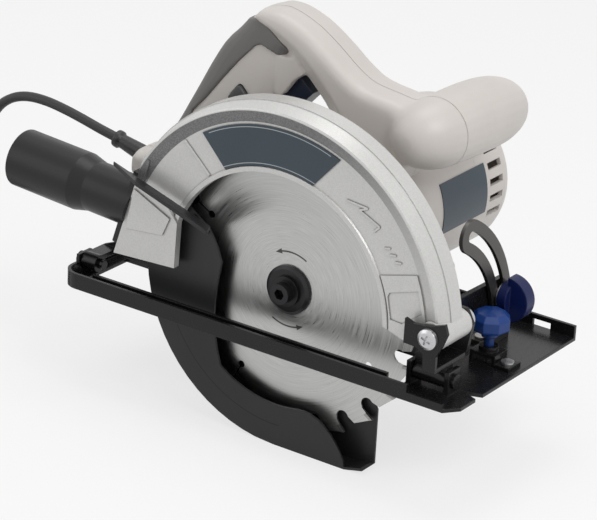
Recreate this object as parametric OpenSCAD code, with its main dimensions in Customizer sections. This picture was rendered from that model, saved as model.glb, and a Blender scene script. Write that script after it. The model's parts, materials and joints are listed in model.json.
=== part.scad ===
// Hand-held circular saw with a pivoting base, a sprung lower guard and a mains cord.
// X is the cutting direction, Y points to the motor side and Z is up.
// The origin is on the underside of the sole, below the blade axis, at mid-width.

/* [Blade] */
// Blade diameter over the tips
blade_d = 185; // [180:1:190]
// Thickness of the blade's steel body
blade_t = 1.2; // [1:0.1:1.6]
// Width of the cut made by the carbide tips
kerf = 2; // [1.8:0.1:2.6]
// Bore of the blade
blade_bore_d = 20; // [16:1:22]
// Number of teeth
teeth = 24; // [18:6:36]
// Turn of the first tooth
tooth_phase = -15.9; // [-30:0.1:30]
// Greatest depth of cut
max_cut = 61.5; // [60:0.5:62]
// Offset of the blade's mid-plane from mid-width
blade_y = -41; // [-42:0.5:-40]
// Diameter of the clamping flanges
flange_d = 31; // [28:1:34]

/* [Guards] */
// Gap from the blade tips to the outside of the lower guard
lower_room = 7.5; // [7:0.5:8]
// Sheet thickness of the lower guard
lower_t = 1.5; // [1.2:0.1:1.8]
// Width of the lower guard outside
lower_w = 14.5; // [14:0.5:15]
// Gap from the lower guard to the outside of the upper guard
upper_room = 20; // [19.5:0.5:21.5]
// Wall of the upper guard castings
casting_t = 2.5; // [2:0.1:3]
// Width of the upper guard outside
upper_w = 27; // [26.5:0.5:28]
// Radius of the opening in the guard cover
cover_open_r = 78; // [76:0.5:80]
// Turn of the lower guard from closed to open
guard_swing = 95; // [80:1:100]
// Length of the finger lever past the cover's opening
lever_reach = 54; // [50:1:58]

/* [Base] */
// Length of the sole
base_l = 289; // [284:1:294]
// Width of the sole
base_w = 140; // [136:1:146]
// Distance from the blade axis to the front edge
base_front = 136; // [132:1:140]
// Sheet thickness of the sole
sheet = 2.2; // [1.8:0.1:2.5]
// Height of the turned-up edge
rim_h = 10; // [8:0.5:10.5]
// Width of the narrow rail beside the blade
rail_w = 12; // [11:0.5:12.5]
// Width of the blade slot
slot_w = 43; // [42:0.5:45]
// Corner radius of the sole
corner_r = 12; // [8:1:16]
// Height of the bevel axis above the underside
bevel_z = 10; // [9:0.5:11]
// Diameter of the bevel hinge pins
bevel_pin_d = 6; // [5:0.5:7]
// Largest bevel angle
bevel_max = 45; // [30:5:45]
// Width of the rip fence bar's channel
fence_w = 12.6; // [10:0.2:14]
// Height of the rip fence bar's channel
fence_h = 4.8; // [4.4:0.1:5.5]

/* [Depth setting] */
// Height of the depth pivot above the underside
pivot_z = 40; // [39:0.5:42]
// Diameter of the depth pivot screw
pivot_d = 8; // [6:0.5:9]
// Turn from the deepest cut to the shallowest
depth_swing = 24; // [18:1:26]
// Radius of the depth arc about the pivot
arc_r = 190; // [188:0.5:192]
// Diameter of the depth clamp stud
stud_d = 8; // [6:0.5:8.5]

/* [Drive] */
// Gear module
gear_m = 1.1; // [1.08:0.01:1.12]
// Teeth on the motor pinion
pinion_n = 12; // [12:1:12]
// Teeth on the spindle gear
gear_n = 48; // [46:1:48]
// Face width of the gears
gear_w = 7.5; // [6:0.5:8]
// Spindle diameter in its bearings
spindle_d = 12; // [10:0.5:12]
// Outside diameter of the motor housing
motor_d = 100; // [96:1:102]
// Wall of the motor housing
motor_t = 3; // [2:0.1:3.5]
// Length of the motor housing behind the gear case
motor_l = 104.5; // [103:0.5:108]
// Length of the motor end cap
cap_l = 38; // [36:1:42]

/* [Handle] */
// Thickness of the handle across
handle_t = 36; // [34:1:38]
// Distance of the handle's mid-plane from mid-width
handle_y = 14; // [12:0.5:16]
// Wall of the handle shells
handle_wall = 3; // [2.5:0.1:3.5]
// Thickness of the rubber grip
rubber_t = 1.6; // [1:0.1:2]
// Thickness of the trigger across
trigger_t = 17; // [14:0.5:18]
// Pull angle of the trigger
trigger_pull = 8; // [5:1:9]
// Diameter of the lock-off button
lock_d = 13; // [11:0.5:14]
// Travel of the lock-off button
lock_travel = 3; // [2:0.5:3.5]

/* [Dust port] */
// Outside diameter of the dust port
port_d = 37; // [36:0.5:38]
// Bore of the dust port
port_bore_d = 32; // [30:0.5:33]
// Length of the dust port tube
port_l = 92; // [88:1:96]

/* [Cord] */
// Diameter of the mains cord
cord_d = 6.4; // [6:0.1:6.5]
// Pitch of the coil's turns and layers
coil_pitch = 6.9; // [6.9:0.05:7]
// Radius of the coil's outermost turn
coil_r = 49; // [48.5:0.5:50]
// Turns in each of the coil's two layers
coil_turns = 3.375; // [3.375:1:3.375]

/* [Fits] */
// Radial clearance of running fits
run_fit = 0.05; // [0.02:0.01:0.1]
// Gap between separate pieces that don't touch
gap = 0.3; // [0.2:0.05:0.5]

/* [Hidden] */
$fn = 64;
eps = 0.01;

// Blade and guards, measured about the blade axis
blade_r = blade_d / 2;
arbor_z = blade_r - max_cut;
blade_near = blade_y - blade_t / 2;
blade_far = blade_y + blade_t / 2;
lower_r = blade_r + lower_room;
lower_far = blade_y + 5;
lower_near = lower_far - lower_w;
floor_z = arbor_z - lower_r;
upper_r = lower_r + upper_room;
cover_near = blade_y - 19;
upper_far = cover_near + upper_w;
seam_y = cover_near + 10.4;
wall_far = upper_far - casting_t;
cover_band_r = upper_r - 12;
face_y = cover_near + 2.5;
guard_cut_z = arbor_z - 3;
lever_a = 154;
lever_t = 2.4;
lever_w = 8.5;
lever_far = cover_near - 1.5;
lever_near = lever_far - lever_w;
lever_tip_r = cover_open_r + lever_reach;
lever_root_r = cover_open_r - 2.5;

// Spindle stack along Y
flange_t = 2.4;
inner_flange_far = blade_far + flange_t;
outer_flange_near = blade_near - flange_t - 0.4;
hub_boss_r = 24;
hub_r = 30.3;
hub_boss_near = lower_far - lower_t - 1;
hub_far = upper_far + 2;
front_bearing_w = 7.3;
front_bearing_r = 14;
front_bearing_near = inner_flange_far + 0.4;
small_bearing_r = 11;
small_bearing_w = 7;
gear_near = hub_far + 1;
gear_far = gear_near + gear_w;
case_wall_near = gear_far + 1;
case_far = case_wall_near + 3;
boss_far = case_wall_near + small_bearing_w + 1.5;
gear_a = gear_m * (gear_n + pinion_n) / 2;
motor_x = 2;
motor_z = arbor_z + sqrt(gear_a * gear_a - motor_x * motor_x);
motor_p = [motor_x, motor_z];
arbor_p = [0, arbor_z];
mesh_a = atan2(motor_z - arbor_z, motor_x);
case_r = motor_d / 2 - 2;
shaft_r = 4;
housing_far = case_far + motor_l;
cap_far = housing_far + cap_l;
core_near = case_far + 28;
core_l = 56;
core_r = 40;
armature_r = 26;
rear_bearing_near = housing_far + 14;

// Base, bevel and depth setting
base_rear = base_front - base_l;
half_w = base_w / 2;
slot_near = -half_w + rail_w;
slot_far = slot_near + slot_w;
slot_front = blade_r - 0.5;
slot_rear = base_rear + 10;
nose_cut = 7;
bevel_y = -47;
bevel_p = [bevel_y, bevel_z];
bevel_pin_r = bevel_pin_d / 2;
knuckle_r = bevel_pin_r + 2.5;
ear_t = 3;
ear_top = bevel_z + 7;
ear_x = [slot_front + 1, slot_front + 27];
pivot_x = lower_r + 13;
pivot_p = [pivot_x, pivot_z];
pivot_r = pivot_d / 2;
pivot_boss_r = pivot_r + 5;
ear_near = cover_near - 4.5;
ear_inner = cover_near - 2;
far_ear_near = upper_far + 2;
far_ear_far = far_ear_near + 3;
cross_z = [bevel_z + 9, bevel_z + 12];
arm_x = [ear_x[0] + 3.5, ear_x[0] + 7];
quad_x = [arm_x[1] + 1, arm_x[1] + 3.5];
quad_r = 83;
quad_half = 10.5;
bolt_a = 16;
bolt_r = 3.2;
bolt_p = bevel_p + quad_r * [cos(bolt_a), sin(bolt_a)];
fence_x = pivot_x;
fence_y = 5.5;
clamp_a = 181.5;
clamp_p = pivot_p + arc_r * [cos(clamp_a), sin(clamp_a)];
stud_r = stud_d / 2;
arc_near = upper_far + 3;
arc_far = arc_near + 2;
arc_half = 13;

// Dust port seat on the rear of the guard
seat_a = 163;
seat_d = upper_r - 7;
seat_half = 33;
port_tilt = 4;
port_y = blade_y - 6;
port_drop = 6;
port_p = arbor_p + seat_d * [cos(seat_a), sin(seat_a)] + port_drop * [-sin(seat_a), cos(seat_a)];
neck_r = 16;
neck_l = 34;

// Handle: centre line points with their width in the plane of the handle
grip_path = [[-49.4, 172.4, 31.4], [-55.5, 165.2, 34.5], [-61, 151.5, 47], [-66.6, 139.6, 52],
  [-78.3, 120.7, 51], [-94, 100.7, 42], [-108.5, 83.2, 33], [-123, 67.5, 27], [-142, 60, 20],
  [-153, 60.5, 18]];
bridge_path = [[-118, 69, 28], [-100, 59, 29], [-75, 54, 31], [-40, 52, 34]];
strut_path = [[-57, 171, 30], [-26, 160, 34], [4, 141, 38], [30, 127, 46], [52, 122, 48]];
bulb_y = [handle_y - 9, handle_y + 50];
bulb_a = [60, 133, 23.5];
bulb_b = [71, 135, 21];
trigger_pts = [[-60, 147], [-34, 148], [-22, 137.5], [-37, 121], [-52, 103], [-61, 97], [-69, 104],
  [-64, 113], [-57, 132]];
trigger_pin = [-54, 142];
lock_p = [-73, 128];
screw_ps = [[-130, 65], [-107, 88], [-8, 148], [38, 122]];
handle_near = handle_y - handle_t / 2;

// Cord route in free air, hand-chosen, with the cord's centre line at each point
cord_r = cord_d / 2;
tie_t = 0.8;
low_z = floor_z + tie_t + 0.1 + cord_r;
top_z = low_z + coil_pitch;
relief_end = [-176, handle_y, 67.5];
relief_a = 14;
cord_pts = [relief_end, [-190, handle_y, 70.2], [-205, handle_y, 73.5], [-220, handle_y, 76.3],
  [-235, handle_y, 78], [-250, handle_y, 77.3], [-263, handle_y, 73], [-274, handle_y, 64.5],
  [-281, handle_y, 52], [-284, handle_y, 36], [-284.5, handle_y, 18], [-284.5, handle_y, 0],
  [-284.5, handle_y, -13], [-285, handle_y, -25], [-287.6, handle_y, -36], [-292.8, handle_y, -45.5],
  [-300.6, handle_y, -52.8], [-310, handle_y, top_z + 1], [-320, handle_y, top_z]];
coil_c = [-320, handle_y - coil_r];
coil_start = 90;
tail_x = coil_c[0] - coil_r;
tail_y = coil_c[1];
plug_z = floor_z + 8;
plug_y = tail_y - 36;

// Points on a circle arc, from angle a0 to a1 in n steps
function polar(r, a) = [r * cos(a), r * sin(a)];
function arc(r, a0, a1, n) = [for (i = [0:n]) polar(r, a0 + (a1 - a0) * i / n)];
function shift(pts, by) = [for (p = pts) p + by];
// Profile points given as radius and Y, for a turned piece about a Y axis
function turned(pts) = [for (p = pts) [p[0], -p[1]]];
function deg(radians) = radians * 180 / PI;

// A rod along Y, X or Z between two places
module y_rod(p, y0, y1, r) translate([p[0], y1, p[1]]) rotate([90, 0, 0]) cylinder(h = y1 - y0, r = r);
module x_rod(p, x0, x1, r) translate([x0, p[0], p[1]]) rotate([0, 90, 0]) cylinder(h = x1 - x0, r = r);
module z_rod(p, z0, z1, r) translate([p[0], p[1], z0]) cylinder(h = z1 - z0, r = r);
// A ring along Y
module y_ring(p, y0, y1, r_out, r_in) {
  difference() {
    y_rod(p, y0, y1, r_out);
    y_rod(p, y0 - 1, y1 + 1, r_in);
  }
}
// A flat shape drawn in X and Z, made thick along Y
module y_plate(y0, y1) translate([0, y1, 0]) rotate([90, 0, 0]) linear_extrude(y1 - y0) children();
// A flat shape drawn in Y and Z, made thick along X
module x_plate(x0, x1) translate([x0, 0, 0]) rotate([90, 0, 90]) linear_extrude(x1 - x0) children();
// A box between two corners
module box(a, b) translate(a) cube(b - a);
// A profile turned about a Y axis through p
module y_turned(p, pts) {
  translate([p[0], 0, p[1]]) rotate([90, 0, 0]) rotate_extrude($fn = 128) polygon(turned(pts));
}

// Base

module sole_outline() {
  r = corner_r;
  polygon(concat(
    shift(arc(r, 180, 270, 8), [base_rear + r, -half_w + r]),
    [[base_front - nose_cut, -half_w], [base_front, -half_w + nose_cut + 2], [base_front, blade_y - 4],
      [base_front - 8, blade_y - 1],
      [base_front - 8, blade_y + 1], [base_front, blade_y + 4], [base_front, half_w]],
    shift(arc(r, 90, 180, 8), [base_rear + r, half_w - r])));
}

module rim_corner(c, a0) {
  translate([c[0], c[1], 0]) rotate(a0) rotate_extrude(angle = 90)
    translate([corner_r - sheet, 0]) square([sheet, rim_h]);
}

module fence_channel() {
  half = fence_w / 2;
  box([fence_x - half, half_w - 3 * sheet, sheet], [fence_x + half, half_w + 1, sheet + fence_h]);
}

module sole_plate() {
  rail_end = ear_x[0] + 11;
  color([0.05, 0.05, 0.06]) difference() {
    union() {
      linear_extrude(sheet) sole_outline();
      box([base_rear + corner_r, -half_w, 0], [rail_end, -half_w + sheet, rim_h]);
      box([rail_end - 1, -half_w, 0], [base_front - nose_cut, -half_w + sheet, sheet + 3]);
      box([slot_rear + 8, slot_near - sheet, 0], [ear_x[0] - 9, slot_near, rim_h - 2]);
      box([base_rear, -half_w + corner_r, 0], [base_rear + sheet, half_w - corner_r, rim_h]);
      box([base_rear + corner_r, half_w - sheet, 0], [base_front, half_w, rim_h]);
      rim_corner([base_rear + corner_r, -half_w + corner_r], 180);
      rim_corner([base_rear + corner_r, half_w - corner_r], 90);
      for (x = ear_x) box([x, bevel_y - 6.5, 0], [x + ear_t, bevel_y + 6.5, ear_top]);
      box([base_rear, bevel_y - 6.5, 0], [base_rear + sheet, bevel_y + 6.5, bevel_z + 5]);
    }
    box([slot_rear, slot_near, -1], [slot_front, slot_far, sheet + 1]);
    for (x = ear_x) x_rod(bevel_p, x - 1, x + ear_t + 1, bevel_pin_r + run_fit);
    x_rod(bevel_p, base_rear - 1, base_rear + sheet + 1, bevel_pin_r + run_fit);
    fence_channel();
    for (p = rivet_ps) z_rod(p, -1, sheet + 1, rivet_r + eps);
    for (p = bridge_rivet_ps) z_rod(p, -1, sheet + 1, rivet_r + eps);
  }
}

// Bevel quadrant riveted to the sole

rivet_r = 2.2;
foot_t = 2.4;
foot_y = [bolt_p[0] - 12, bolt_p[0] + 12];
rivet_ps = [[quad_x[0] - 6, foot_y[0] + 6], [quad_x[0] - 6, foot_y[1] - 6]];
bridge_y = [fence_y - 7, fence_y + 7];
bridge_x = [fence_x - fence_w / 2 - gap, fence_x + fence_w / 2 + gap];
bridge_rivet_ps = [[bridge_x[1] + 7, fence_y]];

module ring_sector(r0, r1, a0, a1, n) polygon(concat(arc(r1, a0, a1, n), arc(r0, a1, a0, n)));

module bevel_quadrant() {
  slot_half = bolt_r + gap;
  a0 = bolt_a - 6;
  s0 = bolt_a - 0.5;
  s1 = bolt_a + bevel_max + 0.5;
  lo = bevel_p + polar(quad_r, a0);
  color([0.33, 0.31, 0.3]) difference() {
    union() {
      x_plate(quad_x[0], quad_x[1]) {
        translate(bevel_p) ring_sector(quad_r - quad_half, quad_r + quad_half, a0, s1, 16);
        polygon([[foot_y[0], sheet], [foot_y[1], sheet], lo + [quad_half, 0.5], lo + [-quad_half, 0]]);
      }
      x_rod(bevel_p + polar(quad_r, s1), quad_x[0], quad_x[1], quad_half);
      box([quad_x[0] - 12, foot_y[0], sheet], [quad_x[1], foot_y[1], sheet + foot_t]);
    }
    x_plate(quad_x[0] - 1, quad_x[1] + 1) translate(bevel_p)
      ring_sector(quad_r - slot_half, quad_r + slot_half, s0, s1, 16);
    for (a = [s0, s1]) x_rod(bevel_p + polar(quad_r, a), quad_x[0] - 1, quad_x[1] + 1, slot_half);
    for (p = rivet_ps) z_rod(p, 0, sheet + foot_t + 1, rivet_r + eps);
  }
}

module quadrant_rivets() {
  color([0.5, 0.5, 0.5]) {
    for (p = rivet_ps) {
      z_rod(p, 0, sheet + foot_t, rivet_r);
      z_rod(p, sheet + foot_t, sheet + foot_t + 1.4, rivet_r + 1.8);
    }
    for (p = bridge_rivet_ps) {
      z_rod(p, 0, 2 * sheet, rivet_r);
      z_rod(p, 2 * sheet, 2 * sheet + 1.4, rivet_r + 1.8);
    }
  }
}

module fence_bridge() {
  top = sheet + fence_h + gap;
  color([0.07, 0.07, 0.08]) difference() {
    union() {
      box([bridge_x[0] - sheet, bridge_y[0], top], [bridge_x[1] + sheet, bridge_y[1], top + sheet]);
      box([bridge_x[0] - sheet, bridge_y[0], sheet], [bridge_x[0], bridge_y[1], top + eps]);
      box([bridge_x[1], bridge_y[0], sheet], [bridge_x[1] + sheet, bridge_y[1], top + eps]);
      box([bridge_x[1], bridge_y[0], sheet], [bridge_x[1] + 12, bridge_y[1], 2 * sheet]);
      z_rod([fence_x, fence_y], top, top + sheet + 3, 6);
    }
    z_rod([fence_x, fence_y], top - 1, top + sheet + 4, 3 + run_fit);
    for (p = bridge_rivet_ps) z_rod(p, 0, 2 * sheet + 1, rivet_r + eps);
  }
}

module fence_knob() {
  c = [fence_x, fence_y];
  foot = sheet + fence_h + gap;
  color([0.12, 0.29, 0.55]) {
    z_rod(c, foot, foot + 12, 3);
    z_rod(c, foot + 11, foot + 14, 5);
    translate([c[0], c[1], foot + 13.5]) rotate(10) rotate_extrude($fn = 8)
      polygon([[0, 0], [6, 0], [11.6, 2.4], [12.2, 3.6], [12.2, 9.6], [9, 13], [0, 14]]);
  }
}

// Front bracket between sole and body

module ear_shape() {
  polygon([[arm_x[0], cross_z[0]], [ear_x[1] - gap, cross_z[0]], [pivot_x + pivot_boss_r, pivot_z],
    [pivot_x + 4, pivot_z + pivot_boss_r], [arm_x[0], pivot_z + pivot_boss_r]]);
}

module near_ear_shape() {
  polygon(shift([[-16.5, 8.5], [-11, 6.6], [-4.3, 7.2], [2, 8.4], [10.4, 11.6], [12.4, 5.6], [9.2, -3],
    [5.7, -10], [5.7, cross_z[0] - pivot_z], [-2.6, cross_z[0] - pivot_z], [-3.2, -10.5], [-9, -7.4],
    [-16.6, -7]], pivot_p));
}

module front_bracket() {
  x0 = ear_x[0] + ear_t + gap;
  x1 = ear_x[1] - gap;
  color([0.06, 0.06, 0.07]) difference() {
    union() {
      x_rod(bevel_p, x0, x1, knuckle_r);
      box([x0, bevel_y - 3, bevel_z + 3], [x1, bevel_y + 3, cross_z[1]]);
      box([pivot_x - 2.6, ear_near, cross_z[0]], [x1, bevel_y, cross_z[1]]);
      box([arm_x[0], bevel_y - 3, cross_z[0]], [x1, far_ear_far, cross_z[1]]);
      y_plate(ear_near, ear_inner) near_ear_shape();
      y_plate(far_ear_near, far_ear_far) ear_shape();
      x_plate(arm_x[0], arm_x[1]) polygon([[far_ear_near, cross_z[0]], [bolt_p[0] - 8, bolt_p[1] - 11],
        [bolt_p[0] + 7, bolt_p[1] - 9], [bolt_p[0] + 11, bolt_p[1]], [bolt_p[0] + 7, bolt_p[1] + 9],
        [far_ear_near, pivot_z + 4]]);
    }
    x_rod(bevel_p, x0 - 1, x1 + 1, bevel_pin_r + run_fit);
    y_rod(pivot_p, ear_near - 1, far_ear_far + 1, pivot_r + eps);
    x_rod(bolt_p, arm_x[0] - 1, arm_x[1] + 1, bolt_r + eps);
  }
}

module hinge_pin(x0, x1) {
  x_rod(bevel_p, x0, x1, bevel_pin_r);
  x_rod(bevel_p, x1, x1 + 2, bevel_pin_r + 1.5);
}

module front_hinge_pin() color([0.6, 0.6, 0.62]) hinge_pin(ear_x[0] - 0.5, ear_x[1] + ear_t);

module rear_hinge_pin() {
  color([0.6, 0.6, 0.62]) mirror([1, 0, 0]) hinge_pin(-base_rear - 17, -base_rear);
}

module bevel_bolt() {
  color([0.6, 0.6, 0.62]) {
    x_rod(bolt_p, arm_x[0] - 3, arm_x[0], 2 * bolt_r);
    x_rod(bolt_p, arm_x[0] - 1, quad_x[1] + 10, bolt_r);
  }
}

module bevel_washer() {
  color([0.6, 0.6, 0.62]) difference() {
    x_rod(bolt_p, quad_x[1] + gap, quad_x[1] + gap + 1.5, 8);
    x_rod(bolt_p, quad_x[1], quad_x[1] + 3, bolt_r + run_fit);
  }
}

module bevel_knob() {
  x0 = quad_x[1] + 2.1;
  wing_r = 14.2;
  color([0.13, 0.17, 0.35]) difference() {
    union() {
      x_rod(bolt_p, x0, x0 + 6, 10);
      y_plate(bolt_p[0] - 4.5, bolt_p[0] + 4.5) translate([x0 + 4, bolt_p[1]]) intersection() {
        circle(wing_r);
        translate([0, -wing_r]) square(2 * wing_r);
      }
    }
    x_rod(bolt_p, x0 - 1, x0 + 8.5, bolt_r + run_fit);
  }
}

// Depth pivot and depth arc

module depth_pivot_screw() {
  color([0.72, 0.72, 0.74]) difference() {
    union() {
      y_rod(pivot_p, ear_near, far_ear_far + 4, pivot_r);
      y_turned(pivot_p, [[0, ear_near], [6.6, ear_near], [6.2, ear_near - 1.8], [4.4, ear_near - 2.9],
        [0, ear_near - 3.3]]);
      y_rod(pivot_p, far_ear_far, far_ear_far + 4, 6.5);
    }
    for (a = [20, 110]) translate([pivot_x, ear_near - 3, pivot_z]) rotate([0, a, 0])
      cube([6.4, 2.4, 1.4], center = true);
  }
}

module depth_arc() {
  a0 = clamp_a + 9;
  a1 = clamp_a - depth_swing - 4.2;
  slot_half = stud_r + gap;
  x0 = base_rear + sheet + gap;
  x1 = x0 + 11;
  tab_z = bevel_z + 5;
  color([0.09, 0.09, 0.1]) difference() {
    union() {
      y_plate(arc_near, arc_far) {
        translate(pivot_p) ring_sector(arc_r - arc_half, arc_r + arc_half, a0, a1, 16);
        polygon([[x0, tab_z - 3], [clamp_p[0] - 6, bevel_z - 3], [clamp_p[0] + 8, bevel_z - 3],
          [clamp_p[0] + 12, clamp_p[1] - 8], [clamp_p[0] - 14, clamp_p[1] - 4], [x0 + 12, tab_z + 5],
          [x0, tab_z]]);
      }
      box([x0, bevel_y, tab_z - 3], [x1, arc_far, tab_z]);
      x_rod(bevel_p, x0, x1, knuckle_r);
    }
    y_plate(arc_near - 1, arc_far + 1) translate(pivot_p)
      ring_sector(arc_r - slot_half, arc_r + slot_half, clamp_a + 0.4, clamp_a - depth_swing - 0.4, 16);
    for (a = [clamp_a + 0.4, clamp_a - depth_swing - 0.4])
      y_rod(pivot_p + polar(arc_r, a), arc_near - 1, arc_far + 1, slot_half);
    y_plate(arc_near - 1, arc_far + 1) translate(arbor_p)
      ring_sector(upper_r - 5, upper_r + 20, 105, 150, 16);
    x_rod(bevel_p, x0 - 1, x1 + 1, bevel_pin_r + run_fit);
  }
}

module depth_stud() {
  color([0.6, 0.6, 0.62]) y_rod(clamp_p, upper_far - 0.5, arc_far + 12, stud_r);
}

module depth_lever() {
  y0 = arc_far + gap;
  color([0.05, 0.05, 0.06]) difference() {
    union() {
      y_rod(clamp_p, y0, y0 + 10, 10);
      y_plate(y0 + 3, y0 + 9) translate(clamp_p) rotate(140) {
        translate([0, -5]) square([50, 10]);
        translate([50, 0]) circle(6);
      }
    }
    y_rod(clamp_p, y0 - 1, y0 + 11, stud_r + run_fit);
  }
}

// Upper guard: a rear casting that carries the gears, and a front cover

cover_screw_r = 2;
cover_screw_as = [22, 62, 104, 138];
cover_screw_ps = [for (a = cover_screw_as) arbor_p + polar(upper_r - 8, a)];

module guard_side() {
  polygon([[-upper_r - 5, guard_cut_z - 1], [-70, guard_cut_z + 2], [70, arbor_z + 7],
    [pivot_x - 21, arbor_z], [pivot_x + 3, pivot_z + 6], [upper_r + 5, pivot_z + 6],
    [upper_r + 5, arbor_z + upper_r + 5], [-upper_r - 5, arbor_z + upper_r + 5]]);
}

// The flat seat for the dust port, at d from the blade axis along the seat's direction
module seat_block(d0, d1, half, y0, y1) {
  translate([0, 0, arbor_z]) rotate([0, -seat_a, 0]) box([d0, y0, -half], [d1, y1, half]);
}

module port_passage() {
  translate([port_p[0], port_y, port_p[1]]) rotate([0, 90 + port_tilt, 0])
    cylinder(h = 40, r = 11, center = true);
}

module guard_half(profile, y0, y1) {
  difference() {
    union() {
      intersection() {
        union() {
          y_turned(arbor_p, profile);
          children();
        }
        y_plate(y0 - 1, y1 + 1) guard_side();
      }
      intersection() {
        seat_block(seat_d - 5, seat_d + 3, seat_half, y0 + 0.3, y1 - 0.3);
        y_rod(arbor_p, y0 - 1, y1 + 1, upper_r - 1);
        y_plate(y0 - 1, y1 + 1) guard_side();
      }
    }
    seat_block(seat_d, seat_d + 30, seat_half + 20, y0 - 1, y1 + 1);
    port_passage();
    for (s = [-1, 1]) port_screw(s, 2 + 2 * eps, -12, 1);
  }
}

module guard_casting() {
  ri = upper_r - casting_t - 0.5;
  color([0.82, 0.81, 0.79]) difference() {
    union() {
      guard_half([[hub_boss_r, wall_far], [ri, wall_far], [ri, seam_y], [upper_r, seam_y],
        [upper_r, upper_far - 5], [upper_r - 5, upper_far], [hub_boss_r, upper_far]], seam_y, upper_far);
      y_rod(arbor_p, wall_far, hub_far, hub_r);
      y_rod(motor_p, upper_far - 1, hub_far, case_r);
      y_rod(arbor_p, hub_boss_near, wall_far + 1, hub_boss_r);
      y_rod(pivot_p, seam_y, far_ear_near - gap, pivot_boss_r);
      y_rod(clamp_p, wall_far, arc_near - gap, stud_r + 4);
      for (p = cover_screw_ps) y_rod(p, seam_y, upper_far - 1.5, 4.2);
    }
    y_rod(arbor_p, hub_boss_near - 1, hub_far + 1, front_bearing_r + eps);
    y_rod(arbor_p, hub_boss_near - 1, inner_flange_far + gap, flange_d / 2 + 0.7);
    y_ring(arbor_p, wall_far - 1, wall_far + 2, hub_r - 0.8, hub_boss_r + 0.8);
    y_ring(arbor_p, hub_boss_near + gap, hub_boss_near + gap + 0.5, hub_boss_r + 1, hub_boss_r - 1);
    y_rod(motor_p, upper_far - 1, hub_far + 1, gear_m * (pinion_n / 2 + 1) + 1.5);
    y_rod(pivot_p, seam_y - 1, far_ear_near, pivot_r + run_fit);
    y_rod(clamp_p, upper_far - 0.5, arc_near, stud_r + eps);
    for (p = cover_screw_ps) y_rod(p, seam_y - 1, upper_far + 1, cover_screw_r + eps);
  }
}

// The block at the rear of the cover, level with its rim, with a raised panel
module rear_block() {
  y_plate(cover_near + 0.1, cover_near + 5) polygon(shift([polar(cover_open_r - 4, 188),
    polar(cover_open_r - 1, 158.5), polar(cover_open_r + 9, 155), polar(upper_r - 6, 157),
    polar(upper_r + 8, 186)], arbor_p));
  y_plate(cover_near - 1.1, cover_near + 1) polygon(shift([polar(upper_r - 9, 172),
    polar(cover_open_r + 6, 167.5), polar(cover_open_r + 4.5, 158.5), polar(upper_r - 7.5, 157.8)], arbor_p));
}

// A flat bar between two points
module bar(a, b, w) {
  d = b - a;
  translate(a) rotate(atan2(d[1], d[0])) translate([0, -w / 2]) square([norm(d), w]);
}

// Cast marks on the cover's face: a raised front end with a sunk panel, a rib and a zigzag arrow
module cast_marks() {
  r0 = cover_open_r + 4;
  r1 = cover_band_r - 0.5;
  y_plate(face_y - 0.8, face_y + 1) translate(arbor_p) difference() {
    polygon(concat(arc(r1, -6, 23.2, 8), arc(r0, 25.6, -6, 8)));
    polygon([polar(r0 + 1.2, 16.5), polar(r0 + 3.2, 18.2), polar(r1 - 2, 18.2), polar(r1 - 2, 10.5),
      polar(r0 + 9, 6), polar(r0 + 1.2, 7)]);
  }
  y_plate(face_y - 0.7, face_y + 1) translate(arbor_p) {
    bar(polar(r0, 128), polar(r1, 130.2), 1.8);
    bar(polar(89, 57.6), polar(96.7, 49.7), 1.2);
    bar(polar(96.7, 49.7), polar(90.9, 51.6), 1.2);
    bar(polar(91.2, 51.8), polar(96.3, 42.2), 1.2);
    bar(polar(96.3, 42.2), polar(91, 42), 1.2);
    for (k = [0:2]) bar(polar(92 + 1.6 * k, 35 - 3 * k), polar(96 + 1.6 * k, 34 - 3 * k), 1.2);
  }
}

module guard_cover() {
  t = casting_t;
  lip = cover_open_r + 3.4;
  color([0.84, 0.83, 0.81]) difference() {
    union() {
      guard_half([[cover_open_r, face_y - 1.2], [lip - 0.5, face_y - 1.2], [lip + 0.1, face_y],
        [cover_band_r, face_y], [upper_r - 4.2, cover_near], [upper_r - 3, cover_near + 0.5],
        [upper_r - 0.6, seam_y], [upper_r - t - 1, seam_y], [upper_r - 6, cover_near + 3.4],
        [cover_band_r, face_y + t], [lip, face_y + t], [lip, cover_near + 7], [cover_open_r, cover_near + 7]],
        cover_near, seam_y) {
        rear_block();
        cast_marks();
      }
      y_rod(pivot_p, ear_inner + gap, seam_y, pivot_boss_r);
      for (p = cover_screw_ps) y_rod(p, face_y + 0.5, seam_y, 4.2);
    }
    y_rod(pivot_p, ear_inner - 1, seam_y + 1, pivot_r + run_fit);
    for (p = cover_screw_ps) y_rod(p, cover_near + t + 1, seam_y + 1, cover_screw_r + eps);
  }
}

module cover_screws() {
  color([0.65, 0.65, 0.66]) for (p = cover_screw_ps) {
    y_rod(p, cover_near + casting_t + 2, upper_far, cover_screw_r);
    y_rod(p, upper_far, upper_far + 1.6, 3.6);
  }
}

module badge_plate() {
  r0 = cover_open_r + 3.6;
  r1 = cover_band_r - 1.4;
  color([0.23, 0.28, 0.33]) y_plate(face_y - 0.8, face_y) translate(arbor_p)
    polygon(concat(arc(r1, 67, 122, 20), arc(r0, 118.5, 73, 20)));
}

// Dust port

module dust_port_screws() {
  color([0.2, 0.2, 0.21]) for (s = [-1, 1]) port_screw(s, 2, -6, 0);
}

module port_screw(s, r, d0, d1) {
  translate([0, 0, arbor_z]) rotate([0, -seat_a, 0])
    translate([seat_d + 4, port_y, port_drop + s * 22]) rotate([0, 90, 0]) {
      translate([0, 0, d0]) cylinder(h = d1 - d0, r = r);
      if (r < 2.01) cylinder(h = 1.5, r = 3.4);
    }
}

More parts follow.
